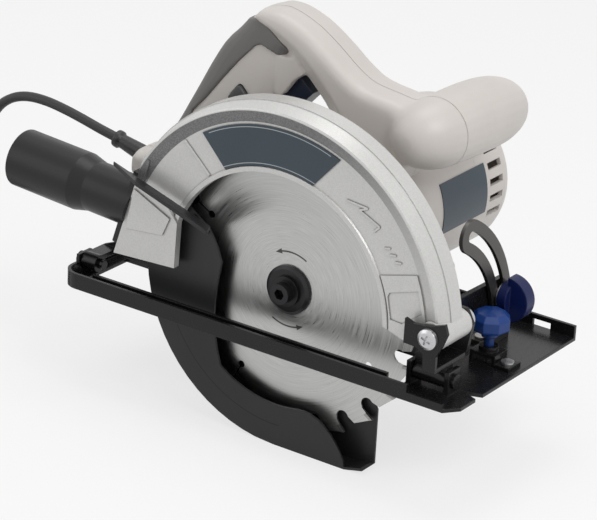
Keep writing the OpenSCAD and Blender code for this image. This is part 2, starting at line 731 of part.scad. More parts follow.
module dust_port() {
  flange_y = [cover_near + 1, upper_far - 0.5];
  color([0.07, 0.07, 0.08]) difference() {
    union() {
      translate([0, 0, arbor_z]) rotate([0, -seat_a, 0])
        box([seat_d, flange_y[0], port_drop - 26], [seat_d + 4, flange_y[1], port_drop + 26]);
      difference() {
        translate([port_p[0], port_y, port_p[1]]) rotate([0, -90 + port_tilt, 0]) {
          translate([0, 0, -10]) cylinder(h = neck_l + 10, r = neck_r);
          translate([0, 0, neck_l]) cylinder(h = 10, r1 = neck_r, r2 = port_d / 2);
          translate([0, 0, neck_l + 10]) cylinder(h = port_l - neck_l - 10, r = port_d / 2);
        }
        seat_block(seat_d - 60, seat_d, 60, port_y - 30, port_y + 30);
      }
    }
    translate([port_p[0], port_y, port_p[1]]) rotate([0, -90 + port_tilt, 0]) {
      translate([0, 0, neck_l + 12]) cylinder(h = port_l, r = port_bore_d / 2);
      translate([0, 0, -20]) cylinder(h = neck_l + 40, r = 11);
    }
    for (s = [-1, 1]) port_screw(s, 2 + 2 * eps, -6, 1);
  }
}

// Gear case, spindle and gears

module case_outline() {
  translate(arbor_p) circle(hub_r);
  translate(motor_p) circle(case_r);
}

module gear_case() {
  pinion_room = gear_m * (pinion_n / 2 + 1) + 1.5;
  gear_room = gear_m * (gear_n / 2 + 1) + 0.8;
  color([0.7, 0.7, 0.71]) difference() {
    union() {
      y_plate(hub_far, case_far) case_outline();
      for (p = [arbor_p, motor_p]) y_rod(p, case_wall_near, boss_far, small_bearing_r + 3);
    }
    y_rod(arbor_p, hub_far - 1, case_wall_near, gear_room);
    y_rod(motor_p, hub_far - 1, case_wall_near, pinion_room);
    for (p = [arbor_p, motor_p])
      y_rod(p, case_wall_near - 1, case_wall_near + small_bearing_w, small_bearing_r + eps);
    y_plate(arc_near - gap, arc_far + gap) translate(pivot_p) ring_sector(arc_r - arc_half - gap,
      arc_r + arc_half + gap, clamp_a + 30, clamp_a - depth_swing - 30, 32);
    y_rod(motor_p, case_wall_near, boss_far + 1, shaft_r + 3);
  }
}

module spindle() {
  sr = spindle_d / 2;
  color([0.6, 0.6, 0.62]) difference() {
    union() {
      y_rod(arbor_p, blade_far, gear_far, sr);
      y_rod(arbor_p, gear_far - 1, case_wall_near + small_bearing_w, shaft_r);
    }
    y_rod(arbor_p, blade_far - 1, gear_near, bolt_shank_r);
  }
}

bolt_shank_r = 4;

module bearing(p, y0, w, r_out, r_in) {
  color([0.75, 0.76, 0.78]) y_ring(p, y0, y0 + w, r_out, r_in + run_fit);
}

module spindle_front_bearing() {
  bearing(arbor_p, front_bearing_near, front_bearing_w, front_bearing_r, spindle_d / 2);
}
module spindle_rear_bearing() bearing(arbor_p, case_wall_near, small_bearing_w, small_bearing_r, shaft_r);
module motor_front_bearing() bearing(motor_p, case_wall_near, small_bearing_w, small_bearing_r, shaft_r);
module motor_rear_bearing() bearing(motor_p, rear_bearing_near, small_bearing_w, small_bearing_r, shaft_r);

// Involute gear outline: n teeth, one of them centred on angle a, thinned for backlash
pressure = 25;
backlash = 0.34;
function involute(rb, t) = rb * [cos(t) + t * PI / 180 * sin(t), sin(t) - t * PI / 180 * cos(t)];
function roll(rb, r) = deg(sqrt(r * r / (rb * rb) - 1));
function turn_pt(p, a) = [p[0] * cos(a) - p[1] * sin(a), p[0] * sin(a) + p[1] * cos(a)];
function flank(rb, r0, r1, n) = let (t0 = roll(rb, max(rb, r0)), t1 = roll(rb, r1))
  [for (i = [0:n]) involute(rb, t0 + (t1 - t0) * i / n)];

module gear_outline(n, a) {
  rp = gear_m * n / 2;
  rb = rp * cos(pressure);
  ro = rp + gear_m * 0.96;
  rr = rp - gear_m * 1.25;
  half = deg((PI * gear_m / 2 - backlash) / 2 / rp) + deg(tan(pressure)) - pressure;
  side = flank(rb, rr, ro, 6);
  foot = half - atan2(side[0][1], side[0][0]);
  root = foot + 0.4 * (180 / n - foot);
  polygon([for (k = [0:n - 1]) let (c = a + k * 360 / n) each concat(
    [polar(rr - 0.05, c - root)],
    [for (p = side) turn_pt(p, c - half)],
    [for (i = [len(side) - 1:-1:0]) turn_pt([side[i][0], -side[i][1]], c + half)],
    [polar(rr - 0.05, c + root)])]);
}

module drive_gear() {
  color([0.55, 0.55, 0.57]) difference() {
    y_plate(gear_near, gear_far) translate(arbor_p) gear_outline(gear_n, mesh_a);
    y_rod(arbor_p, gear_near - 1, gear_far + 1, spindle_d / 2 + eps);
  }
}

module inner_flange() {
  color([0.45, 0.45, 0.46]) difference() {
    union() {
      y_rod(arbor_p, blade_far, inner_flange_far, flange_d / 2);
      y_rod(arbor_p, blade_near + 0.1, blade_far + 1, blade_bore_d / 2 - eps);
    }
    y_rod(arbor_p, blade_near - 1, blade_far, bolt_shank_r + eps);
    y_rod(arbor_p, blade_far, inner_flange_far + 1, spindle_d / 2 + eps);
  }
}

module outer_flange() {
  color([0.05, 0.05, 0.05]) difference() {
    y_turned(arbor_p, [[0, blade_near], [flange_d / 2, blade_near], [flange_d / 2, blade_near - 1.6],
      [flange_d / 2 - 2, outer_flange_near], [0, outer_flange_near]]);
    y_rod(arbor_p, outer_flange_near - 1, blade_near + 1, bolt_shank_r + eps);
  }
}

module blade_bolt() {
  head = 8;
  color([0.05, 0.05, 0.05]) difference() {
    union() {
      y_rod(arbor_p, outer_flange_near - 1, gear_near - 1, bolt_shank_r);
      y_rod(arbor_p, outer_flange_near - 2, outer_flange_near, 9.5);
      y_rod(arbor_p, outer_flange_near - head, outer_flange_near - 1, 6.5);
    }
    translate([0, outer_flange_near - head + 5, arbor_z]) rotate([90, 0, 0])
      cylinder(h = 9, r = 3.5, $fn = 6);
  }
}

// Blade: tips lead in the direction of the turn, each followed by a rising back and led by a round gullet

tip_h = 5.5;
tip_t = 1.8;
rake = 12;
gullet_r = 4.2;
function tip_corner(a, r, back) = polar(r, a) + back * polar(1, a - 90 - rake * 0.2);

module tooth_tip_shape(a) {
  foot = tip_corner(a, blade_r - tip_h, tip_h * tan(rake));
  back = tip_t * polar(1, a - 90);
  polygon([polar(blade_r, a), foot, foot + back, polar(blade_r - 0.5, a) + back]);
}

module blade_outline() {
  difference() {
    polygon([for (k = [0:teeth - 1]) let (a = tooth_phase + k * 360 / teeth) each [
      polar(blade_r, a), tip_corner(a, blade_r - tip_h, tip_h * tan(rake)), polar(blade_r - 10, a - 1),
      polar(blade_r - 10, a + 4.5), polar(blade_r - 3.4, a + 6.5)]]);
    for (k = [0:teeth - 1]) {
      a = tooth_phase + k * 360 / teeth;
      translate(polar(blade_r - 9.5, a + 2.2)) circle(gullet_r);
      tooth_tip_shape(a);
    }
  }
}

module saw_blade() {
  slots = 4;
  color([0.7, 0.7, 0.71]) difference() {
    y_plate(blade_near, blade_far) translate(arbor_p) blade_outline();
    y_rod(arbor_p, blade_near - 1, blade_far + 1, blade_bore_d / 2);
    for (k = [0:slots - 1]) {
      a = tooth_phase + 2.2 + (k - 1 / 6) * 360 / slots;
      translate([0, 0, arbor_z]) rotate([0, -a, 0]) {
        box([blade_r - 24, blade_near - 1, -0.5], [blade_r - 8, blade_far + 1, 0.5]);
        y_rod([blade_r - 25, 0], blade_near - 1, blade_far + 1, 2.4);
      }
    }
  }
}

module carbide_tips() {
  color([0.4, 0.4, 0.41]) for (k = [0:teeth - 1]) y_plate(blade_y - kerf / 2, blade_y + kerf / 2)
    translate(arbor_p) tooth_tip_shape(tooth_phase + k * 360 / teeth);
}

module guard_retainer() {
  y0 = hub_boss_near + gap;
  color([0.3, 0.3, 0.31]) y_ring(arbor_p, y0 + 0.05, y0 + 0.45, hub_boss_r + 2.5, hub_boss_r - 1 + eps);
}

// Lower guard: a channel that swings about the spindle boss

guard_back_a = 150;
guard_turn_a = 262;
tip_x = 52;
toe_x = 65;
toe_h = 3;

// Outer edge of the lower guard, round at the back and flat underneath
guard_edge = concat(arc(lower_r, guard_back_a, guard_turn_a, 20), [[0, -lower_r]]);
// A smooth curve from a to d, leaving toward b and arriving from c
function curve(a, b, c, d, n) = [for (i = [0:n]) let (t = i / n, u = 1 - t)
  u * u * u * a + 3 * u * u * t * b + 3 * u * t * t * c + t * t * t * d];

module near_plate_shape() {
  in_r = blade_r - 19.2;
  toe = [tip_x - 1, -lower_r + 5];
  inner = polar(in_r, 282);
  polygon(concat(guard_edge, [[tip_x, -lower_r]],
    curve(toe, toe + [-7, 15], inner + 15 * polar(1, 12), inner, 8), arc(in_r, 279, 235, 8),
    [for (i = [1:10]) polar(45 + (in_r - 45) * pow(1 - i / 10, 2), 235 - 6.5 * i)],
    [polar(52, 159.5), polar(60, guard_back_a + 4)]));
}

module far_plate_shape() {
  polygon(concat(guard_edge, [[tip_x, -lower_r], [toe_x, -lower_r + toe_h], [toe_x, -61],
    [hub_boss_r + 8, -8], [hub_boss_r + 8, 12]], arc(hub_boss_r + 10, 30, 120, 6),
    [polar(hub_boss_r + 14, guard_back_a)]));
}

module wall_shape() {
  t = lower_t;
  polygon(concat(guard_edge, [[tip_x, -lower_r], [toe_x, -lower_r + toe_h],
    [toe_x - t, -lower_r + toe_h + t], [tip_x, -lower_r + t], [0, -lower_r + t]],
    arc(lower_r - t, guard_turn_a, guard_back_a, 20)));
}

module lower_guard() {
  color([0.17, 0.17, 0.18]) difference() {
    union() {
      y_plate(lower_near, lower_near + lower_t) translate(arbor_p) near_plate_shape();
      y_plate(lower_far - lower_t, lower_far) translate(arbor_p) far_plate_shape();
      y_plate(lower_near, lower_far) translate(arbor_p) wall_shape();
    }
    y_rod(arbor_p, lower_far - lower_t - 1, lower_far + 1, hub_boss_r + run_fit);
  }
}

// A thin strip of the lever between two points, drawn in X and Z from the blade axis
module lever_strip(y0, y1, a, b) {
  y_plate(y0, y1) translate(arbor_p) polygon([a, b, b - [0, lever_t], a - [0, lever_t]]);
}

module guard_lever() {
  knee = polar(lever_tip_r - 22.7, 151.7);
  root = polar(lever_root_r - 21, 140.5);
  neck = polar(lever_root_r - 4, 145.5);
  color([0.15, 0.15, 0.16]) {
    hull() {
      lever_strip(lever_near, lever_near + 0.6, knee, root);
      lever_strip(lever_far - 0.8, lever_far, polar(lever_tip_r, 154.6), polar(lever_root_r - 18, 143));
    }
    hull() {
      lever_strip(lever_near, lever_near + 0.6, neck, root);
      lever_strip(lower_near - 0.6, lower_near, polar(lever_root_r - 1, 154.5),
        polar(lever_root_r - 14, 155.5));
    }
  }
}

module guard_spring() {
  n = 60;
  r0 = hub_boss_r + 1.6;
  step = (hub_r - 2 - r0) / n;
  color([0.4, 0.4, 0.42]) y_plate(wall_far + 0.3, wall_far + 1.7) translate(arbor_p)
    polygon(concat([for (i = [0:n]) polar(r0 + step * i, i * 13)],
      [for (i = [n:-1:0]) polar(r0 + step * i + 0.6, i * 13)]));
}

// Motor

module motor_housing() {
  ro = motor_d / 2;
  ri = ro - motor_t;
  color([0.85, 0.82, 0.79]) difference() {
    union() {
      y_turned(motor_p, [[ri, case_far], [case_r + 0.5, case_far], [ro, case_far + 2], [ro, housing_far],
        [ri, housing_far]]);
      intersection() {
        for (a = [45:90:315]) translate([motor_x, 0, motor_z]) rotate([0, a, 0])
          box([core_r + eps, core_near, -3], [ri + 1, core_near + core_l, 3]);
        y_rod(motor_p, case_far, housing_far, ri + 1);
      }
    }
    y_rod(arbor_p, case_far - 1, boss_far + gap, small_bearing_r + 3 + gap);
  }
}

module motor_end_cap() {
  ro = motor_d / 2;
  ri = ro - motor_t;
  t = motor_t;
  slots = 5;
  color([0.85, 0.82, 0.79]) difference() {
    union() {
      y_turned(motor_p, [[ri, housing_far], [ro, housing_far], [ro, cap_far - 7], [ro - 1.2, cap_far - 3],
        [ro - 4, cap_far - 0.8], [ro - 8, cap_far], [0, cap_far], [0, cap_far - t],
        [ro - 8.5, cap_far - t], [ri - 1, cap_far - 6], [ri, cap_far - 10]]);
      y_rod(motor_p, rear_bearing_near, cap_far - 1, small_bearing_r + 2.5);
    }
    y_rod(motor_p, rear_bearing_near - 1, rear_bearing_near + small_bearing_w, small_bearing_r + eps);
    for (side = [0, 180], k = [0:slots - 1]) translate([motor_x, 0, motor_z])
      rotate([0, side - 33 + k * 12, 0]) box([ri - 3, cap_far - 25.2, -2.2], [ro + 3, cap_far - 10.5, 2.2]);
  }
}

module stator_core() {
  color([0.5, 0.5, 0.52]) y_ring(motor_p, core_near, core_near + core_l, core_r, armature_r + 0.6);
}

module field_windings() {
  color([0.72, 0.42, 0.2]) for (y = [core_near - 7, core_near + core_l])
    y_ring(motor_p, y, y + 7, core_r - 2, armature_r + 3);
}

module armature_shaft() {
  color([0.6, 0.6, 0.62]) {
    y_rod(motor_p, gear_near, rear_bearing_near + small_bearing_w, shaft_r);
    y_plate(gear_near, gear_far) translate(motor_p) gear_outline(pinion_n, mesh_a + 180 + 180 / pinion_n);
  }
}

module armature_core() {
  color([0.45, 0.4, 0.38]) y_ring(motor_p, core_near + 2, core_near + core_l - 2, armature_r, shaft_r + eps);
}

brush_y = [housing_far - 12, housing_far - 2];
commutator_r = 12;

module commutator() {
  color([0.7, 0.45, 0.25]) y_ring(motor_p, brush_y[0] - 2, brush_y[1] + 2, commutator_r, shaft_r + eps);
}

module cooling_fan() {
  y0 = boss_far + 2;
  blades = 12;
  color([0.12, 0.12, 0.13]) difference() {
    union() {
      y_rod(motor_p, y0, y0 + 2, core_r);
      y_rod(motor_p, y0, y0 + 11, 9);
      for (k = [0:blades - 1]) translate([motor_x, 0, motor_z]) rotate([0, k * 360 / blades, 0])
        box([14, y0 + 1, -0.8], [core_r - 0.5, y0 + 11, 0.8]);
    }
    y_rod(motor_p, y0 - 1, y0 + 12, shaft_r + eps);
  }
}

brush_half = 3;

module carbon_brushes() {
  color([0.15, 0.15, 0.15]) for (s = [0, 180]) translate([motor_x, 0, motor_z]) rotate([0, s, 0])
    box([commutator_r + gap, brush_y[0] + 2, -brush_half], [commutator_r + 22, brush_y[1] - 2, brush_half]);
}

module brush_holders() {
  ri = motor_d / 2 - motor_t;
  color([0.3, 0.25, 0.2]) for (s = [0, 180]) translate([motor_x, 0, motor_z]) rotate([0, s, 0]) difference() {
    box([commutator_r + 4, brush_y[0], -brush_half - 2], [ri - 0.6, brush_y[1], brush_half + 2]);
    box([commutator_r + 3, brush_y[0] + 1.9, -brush_half - 0.1],
      [commutator_r + 26, brush_y[1] - 1.9, brush_half + 0.1]);
  }
}

module rating_plate() {
  r = motor_d / 2 + 0.03;
  color([0.25, 0.29, 0.33]) translate([motor_x, 0, motor_z]) rotate([90, 0, 0]) rotate([0, 0, -11.5])
    rotate_extrude(angle = 37, $fn = 128) translate([r, -case_far - 113]) square([0.5, 50]);
}

// Handle: a skin over rounded pads along each centre line, made hollow and split at the mid-plane

pad_sides = 16;
function bow(v) = sign(v) * pow(abs(v), 0.72);
function heading(path, i) = let (p = path[max(i - 1, 0)], q = path[min(i + 1, len(path) - 1)])
  atan2(q[1] - p[1], q[0] - p[0]);
function pad(p, a, inset) = [for (k = [0:pad_sides - 1])
  let (b = k * 360 / pad_sides, w = bow(cos(b)) * (p[2] / 2 - inset))
  [p[0] - sin(a) * w, handle_y + bow(sin(b)) * (handle_t / 2 - inset), p[1] + cos(a) * w]];

// Faces that join rings of n points each, closed at both ends
function skin_faces(rings, n) = let (last = rings - 1) concat(
  [for (i = [0:last - 1], k = [0:n - 1]) let (a = i * n + k, b = i * n + (k + 1) % n)
    each [[a, b, b + n], [a, b + n, a + n]]],
  [for (k = [1:n - 2]) each [[0, k + 1, k], [last * n, last * n + k, last * n + k + 1]]]);

module skin(path, inset) {
  pts = [for (i = [0:len(path) - 1]) each pad(path[i], heading(path, i), inset)];
  polyhedron(pts, skin_faces(len(path), pad_sides));
}

// The front grip is turned about a line that leans slightly forward, with round ends
bulb_sides = 20;
bulb_l = bulb_y[1] - bulb_y[0];
function bulb_at(y, r) = let (c = bulb_a + (y - bulb_y[0]) / bulb_l * (bulb_b - bulb_a))
  [for (k = [0:bulb_sides - 1]) let (a = k * 360 / bulb_sides) [c[0] + r * cos(a), y, c[1] + r * sin(a)]];
function bulb_rings(inset) = concat(
  [for (t = [12, 32, 52, 72]) [bulb_y[0] - (bulb_a[2] - inset) * cos(t), (bulb_a[2] - inset) * sin(t)]],
  [for (f = [0, 0.5, 1]) [bulb_y[0] + f * bulb_l, bulb_a[2] + f * (bulb_b[2] - bulb_a[2]) - inset]],
  [for (t = [72, 52, 32, 12]) [bulb_y[1] + (bulb_b[2] - inset) * cos(t), (bulb_b[2] - inset) * sin(t)]]);

module bulb(inset) {
  rings = bulb_rings(inset);
  polyhedron([for (g = rings) each bulb_at(g[0], g[1])], skin_faces(len(rings), bulb_sides));
}

module handle_solid() {
  skin(grip_path, 0);
  skin(bridge_path, 0);
  skin(strut_path, 0);
  bulb(0);
}

module chain(path, inset) {
  for (i = [0:len(path) - 2]) hull() polyhedron(concat(pad(path[i], heading(path, i), inset),
    pad(path[i + 1], heading(path, i + 1), inset)), skin_faces(2, pad_sides));
}

module handle_cavity() {
  skin([for (i = [0:len(grip_path) - 2]) grip_path[i]], handle_wall);
  skin(bridge_path, handle_wall);
  skin(strut_path, handle_wall);
  bulb(handle_wall);
}

// A screw boss with a web toward the handle's centre line
module boss(p, r, web) {
  hull() {
    y_rod(p, handle_near + 2, handle_near + handle_t - 2, r);
    y_rod(p + web, handle_near + 2, handle_near + handle_t - 2, 1);
  }
}

module trigger_room() {
  half = trigger_t / 2 + 0.6;
  for (a = [0, trigger_pull / 2, trigger_pull]) y_plate(handle_y - half, handle_y + half)
    translate(trigger_pin) rotate(-a) translate(-trigger_pin) offset(delta = 0.7) polygon(trigger_pts);
}

module handle_shell() {
  $fn = 24;
  difference() {
    union() {
      difference() {
        handle_solid();
        handle_cavity();
      }
      for (p = screw_ps) for (w = [[7, 3], [-6, -4]]) boss(p, 4, w);
      boss(trigger_pin, 5.5, [-8, 4]);
    }
    trigger_room();
    y_rod(trigger_pin, handle_y - trigger_t / 2 - 4.5, handle_y + trigger_t / 2 + 4.5, 2.65);
    for (p = screw_ps) {
      y_rod(p, handle_y - 10, handle_y + 40, 2.1);
      y_rod(p, handle_y + handle_t / 2 - 1.5, handle_y + 40, 4);
    }
    y_rod(lock_p, handle_near - 5, handle_near + handle_wall + 3, lock_d / 2 + 0.4);
    y_rod(lock_p, handle_near + handle_wall, handle_near + handle_wall + lock_travel + 3, lock_d / 2 + 2.2);
    y_rod(motor_p, case_far - 30, cap_far, motor_d / 2 + 0.2, $fn = 96);
    translate(relief_end) rotate([0, 90 + relief_a, 0]) cylinder(h = 42, r = 5.75);
  }
}

module handle_right() {
  color([0.85, 0.82, 0.79]) intersection() {
    handle_shell();
    box([-200, handle_y - 60, 0], [150, handle_y - 0.05, 250]);
  }
}

module handle_left() {
  color([0.85, 0.82, 0.79]) intersection() {
    handle_shell();
    box([-200, handle_y + 0.05, 0], [150, handle_y + 120, 250]);
  }
}

module grip_overmould() {
  top = 0.85 * grip_path[0] + 0.15 * grip_path[1];
  rest = [for (i = [1:len(grip_path) - 1]) grip_path[i]];
  color([0.43, 0.42, 0.41]) intersection() {
    difference() {
      chain(concat([top], rest), -rubber_t);
      chain(grip_path, -0.1);
      chain(bridge_path, -0.3);
      chain(strut_path, -0.3);
    }
    y_plate(handle_y - 40, handle_y + 40) polygon([[-56, 200], [-54, 181], [-49.3, 172.4], [-38, 164],
      [-42, 158], [-48.7, 161.2], [-56, 161.5], [-72, 149], [-97, 119.5], [-106, 108], [-113, 92],
      [-124, 84], [-134, 86], [-160, 110], [-160, 200]]);
  }
}

module handle_screws() {
  color([0.3, 0.3, 0.31]) for (p = screw_ps) {
    y_rod(p, handle_y - 9, handle_y + handle_t / 2 - 1.4, 2);
    y_rod(p, handle_y + handle_t / 2 - 1.5, handle_y + handle_t / 2 + 0.4, 3.6);
  }
}

module trigger() {
  color([0.04, 0.1, 0.2]) {
    y_plate(handle_y - trigger_t / 2, handle_y + trigger_t / 2) polygon(trigger_pts);
    y_rod(trigger_pin, handle_y - trigger_t / 2 - 4, handle_y + trigger_t / 2 + 4, 2.5);
  }
}

module lock_button() {
  inner = handle_near + handle_wall;
  color([0.25, 0.25, 0.26]) {
    y_rod(lock_p, handle_near - lock_travel - 0.5, inner + 0.4, lock_d / 2);
    y_rod(lock_p, inner + 0.4, inner + 1.6, lock_d / 2 + 1.6);
  }
}

module switch_unit() {
  p = [-92, 109];
  color([0.1, 0.1, 0.1]) {
    translate([p[0], handle_y, p[1]]) rotate([0, -57, 0]) cube([24, 24, 12], center = true);
    y_rod(p, handle_near + handle_wall + 0.7, handle_near + handle_t - handle_wall - 0.7, 2);
  }
}

// Mains cord: strain relief, free run, coil, tie and plug

module strain_relief() {
  color([0.05, 0.05, 0.05]) translate(relief_end) rotate([0, 90 + relief_a, 0]) rotate_extrude($fn = 48)
    polygon([[0, 0], [5.6, 0], [5.8, 1], [5.8, 3], [5, 4.2], [4.6, 5], [5.6, 20], [5.6, 34], [0, 34]]);
}

// A tube with rings of n sides square to the path at each point
function unit(v) = v / norm(v);
function along(pts, i) = unit(pts[min(i + 1, len(pts) - 1)] - pts[max(i - 1, 0)]);
function ring(c, d, r, n) = let (
    u = unit(cross(d, abs(d[1]) > 0.9 ? [0, 0, 1] : [0, 1, 0])),
    v = cross(d, u))
  [for (k = [0:n - 1]) c + r * (u * cos(k * 360 / n) + v * sin(k * 360 / n))];

module tube(pts, dirs, r, n) {
  last = len(pts) - 1;
  rings = [for (i = [0:last]) each ring(pts[i], dirs[i], r, n)];
  sides = [for (i = [0:last - 1], k = [0:n - 1]) let (a = i * n + k, b = i * n + (k + 1) % n)
    each [[a, b, b + n], [a, b + n, a + n]]];
  caps = [for (k = [1:n - 2]) each [[0, k + 1, k], [last * n, last * n + k, last * n + k + 1]]];
  polyhedron(rings, [for (f = concat(sides, caps)) [f[0], f[2], f[1]]]);
}

module power_cord() {
  last = len(cord_pts) - 1;
  leave = unit([-1, 0, tan(relief_a)]);
  dirs = [for (i = [0:last]) i == 0 ? leave : i == last ? [-1, 0, 0] : along(cord_pts, i)];
  color([0.06, 0.06, 0.06]) tube(cord_pts, dirs, cord_r, 10);
}

// Spiral in on the top layer, change layer in half a turn, spiral out on the bottom layer
loop_rings = 24;
half_n = round(coil_turns * loop_rings);
climb_n = loop_rings / 2;
function coil_at(i) = let (
    layer_in = i <= half_n, out = i - half_n - climb_n,
    r = layer_in ? coil_r - coil_pitch * i / loop_rings : out < 0 ? coil_r - coil_pitch * coil_turns
      : coil_r - coil_pitch * coil_turns + coil_pitch * out / loop_rings,
    z = layer_in ? top_z : out < 0 ? top_z - coil_pitch * (i - half_n) / climb_n : low_z,
    p = polar(r, coil_start + i * 360 / loop_rings))
  [coil_c[0] + p[0], coil_c[1] + p[1], z];
coil_loops = [for (i = [0:2 * half_n + climb_n]) coil_at(i)];
tail = [[tail_x, tail_y - 8, low_z], [tail_x, tail_y - 18, low_z + 0.6],
  [tail_x, tail_y - 28, plug_z - 0.3], [tail_x, plug_y, plug_z]];
coil_pts = concat(coil_loops, tail);
turn_gap = min([for (i = [0:len(coil_loops) - 1], j = [i + loop_rings / 2:1:len(coil_loops) - 1])
  norm(coil_loops[i] - coil_loops[j])]) - cord_d;
echo(least_gap_in_coil = turn_gap);

module cord_coil() {
  last = len(coil_pts) - 1;
  dirs = [for (i = [0:last]) i == 0 ? [-1, 0, 0] : i == last ? [0, -1, 0] : along(coil_pts, i)];
  color([0.06, 0.06, 0.06]) tube(coil_pts, dirs, cord_r, 6);
}

module cord_tie() {
  x0 = coil_c[0] + coil_r - coil_pitch * coil_turns - cord_r - gap;
  x1 = coil_c[0] + coil_r - coil_pitch * 0.5 + cord_r + gap;
  color([0.1, 0.1, 0.1]) difference() {
    box([x0 - tie_t, coil_c[1] - 5, floor_z], [x1 + tie_t, coil_c[1] + 5, top_z + cord_r + tie_t + 0.1]);
    box([x0, coil_c[1] - 6, floor_z + tie_t], [x1, coil_c[1] + 6, top_z + cord_r + 0.1]);
  }
}

module mains_plug() {
  color([0.06, 0.06, 0.06]) {
    translate([tail_x, plug_y, plug_z]) rotate([90, 0, 0]) {
      cylinder(h = 16, r1 = 4.2, r2 = 6);
      for (s = [-1, 1]) translate([s * 9.5, 0, 40]) cylinder(h = 19, r = 2.4);
    }
    y_plate(plug_y - 42, plug_y - 14) translate([tail_x, plug_z]) {
      square([22, 14], center = true);
      for (s = [-1, 1]) translate([s * 11, 0]) circle(7);
    }
  }
}

sole_plate();
bevel_quadrant();
quadrant_rivets();
fence_bridge();
fence_knob();
front_bracket();
front_hinge_pin();
depth_arc();
rear_hinge_pin();
bevel_bolt();
bevel_washer();
bevel_knob();
depth_pivot_screw();
guard_casting();
guard_cover();
cover_screws();
badge_plate();
dust_port();
dust_port_screws();
depth_stud();
depth_lever();
gear_case();
spindle();
spindle_front_bearing();
spindle_rear_bearing();
drive_gear();
inner_flange();
saw_blade();
carbide_tips();
outer_flange();
blade_bolt();
guard_retainer();
lower_guard();
guard_lever();
guard_spring();
motor_housing();
motor_end_cap();
stator_core();
field_windings();
armature_shaft();
armature_core();
commutator();
cooling_fan();
motor_front_bearing();
motor_rear_bearing();
brush_holders();
carbon_brushes();
rating_plate();
handle_right();
handle_left();
grip_overmould();
handle_screws();
trigger();
lock_button();
switch_unit();
strain_relief();
power_cord();
cord_coil();
cord_tie();
mains_plug();
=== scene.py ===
import json
import math

import bmesh
import bpy
from mathutils import Matrix, Vector

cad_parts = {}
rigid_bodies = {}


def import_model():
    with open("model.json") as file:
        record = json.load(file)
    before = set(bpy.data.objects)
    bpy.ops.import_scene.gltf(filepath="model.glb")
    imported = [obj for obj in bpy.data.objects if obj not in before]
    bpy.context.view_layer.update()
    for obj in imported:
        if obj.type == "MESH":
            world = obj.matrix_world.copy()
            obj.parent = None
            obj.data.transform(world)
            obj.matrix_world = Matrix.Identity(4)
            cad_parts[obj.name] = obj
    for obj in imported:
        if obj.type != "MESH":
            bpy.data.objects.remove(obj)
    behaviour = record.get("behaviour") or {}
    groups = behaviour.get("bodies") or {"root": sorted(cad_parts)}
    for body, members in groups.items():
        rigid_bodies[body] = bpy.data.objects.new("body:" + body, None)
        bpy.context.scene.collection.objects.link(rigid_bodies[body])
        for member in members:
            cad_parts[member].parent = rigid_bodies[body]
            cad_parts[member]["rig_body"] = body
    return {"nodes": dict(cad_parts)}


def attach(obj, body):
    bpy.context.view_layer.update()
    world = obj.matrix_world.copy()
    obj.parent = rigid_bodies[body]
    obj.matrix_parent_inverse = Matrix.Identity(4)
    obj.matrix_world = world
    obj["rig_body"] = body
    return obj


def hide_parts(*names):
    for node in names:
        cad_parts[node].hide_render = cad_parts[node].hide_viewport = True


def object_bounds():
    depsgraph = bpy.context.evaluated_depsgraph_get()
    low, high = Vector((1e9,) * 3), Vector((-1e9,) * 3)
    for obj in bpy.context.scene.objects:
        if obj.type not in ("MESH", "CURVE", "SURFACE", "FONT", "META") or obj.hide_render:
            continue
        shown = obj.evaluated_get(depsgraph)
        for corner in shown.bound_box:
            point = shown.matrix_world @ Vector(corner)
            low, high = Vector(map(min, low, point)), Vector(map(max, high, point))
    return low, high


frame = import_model()
nodes = frame["nodes"]
cad_box = [list(corner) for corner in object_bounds()]
scene = bpy.context.scene
scene.view_settings.view_transform = "Standard"
MM = 0.001

# Camera: a long lens, a little above the saw and on the blade's side of it.
# Its place and focal length were fitted so that the solids fall on the pictured outlines.
camera_data = bpy.data.cameras.new("photo_camera")
camera_data.sensor_width = 36
camera_data.lens = 181.58
camera_data.clip_end = 30
camera = bpy.data.objects.new("photo_camera", camera_data)
scene.collection.objects.link(camera)
camera_right = Vector((0.81787, 0.57332, 0.04898))
camera_up = Vector((-0.25960, 0.29167, 0.92062))
camera_back = Vector((0.51352, -0.76566, 0.38738))
camera_turn = Matrix((camera_right, camera_up, camera_back)).transposed().to_4x4()
camera_place = (0.92528, -1.41295, 0.74544)
camera.matrix_world = Matrix.Translation(camera_place) @ camera_turn
scene.camera = camera


# Studio: white paper under the saw, a pale room and three soft boxes.
# The paper glows where it is looked at, so it stays white and still takes the shadow.
def add_node(tree, kind, inputs=None, **settings):
    made = tree.nodes.new("ShaderNode" + kind)
    for name, value in settings.items():
        setattr(made, name, value)
    for name, value in (inputs or {}).items():
        if isinstance(value, bpy.types.NodeSocket):
            tree.links.new(value, made.inputs[name])
        else:
            made.inputs[name].default_value = value
    return made


def new_graph(owner):
    owner.use_nodes = True
    owner.node_tree.nodes.clear()
    return owner.node_tree


def looked_at(tree):
    """1 for a ray from the camera, also by way of a mirror or glass."""
    rays = add_node(tree, "LightPath").outputs
    seen = add_node(tree, "Math", {0: rays["Is Camera Ray"], 1: rays["Is Glossy Ray"]}, operation="MAXIMUM")
    both = {0: seen.outputs[0], 1: rays["Is Transmission Ray"]}
    return add_node(tree, "Math", both, operation="MAXIMUM").outputs[0]


def deselect_all():
    bpy.ops.object.select_all(action="DESELECT")


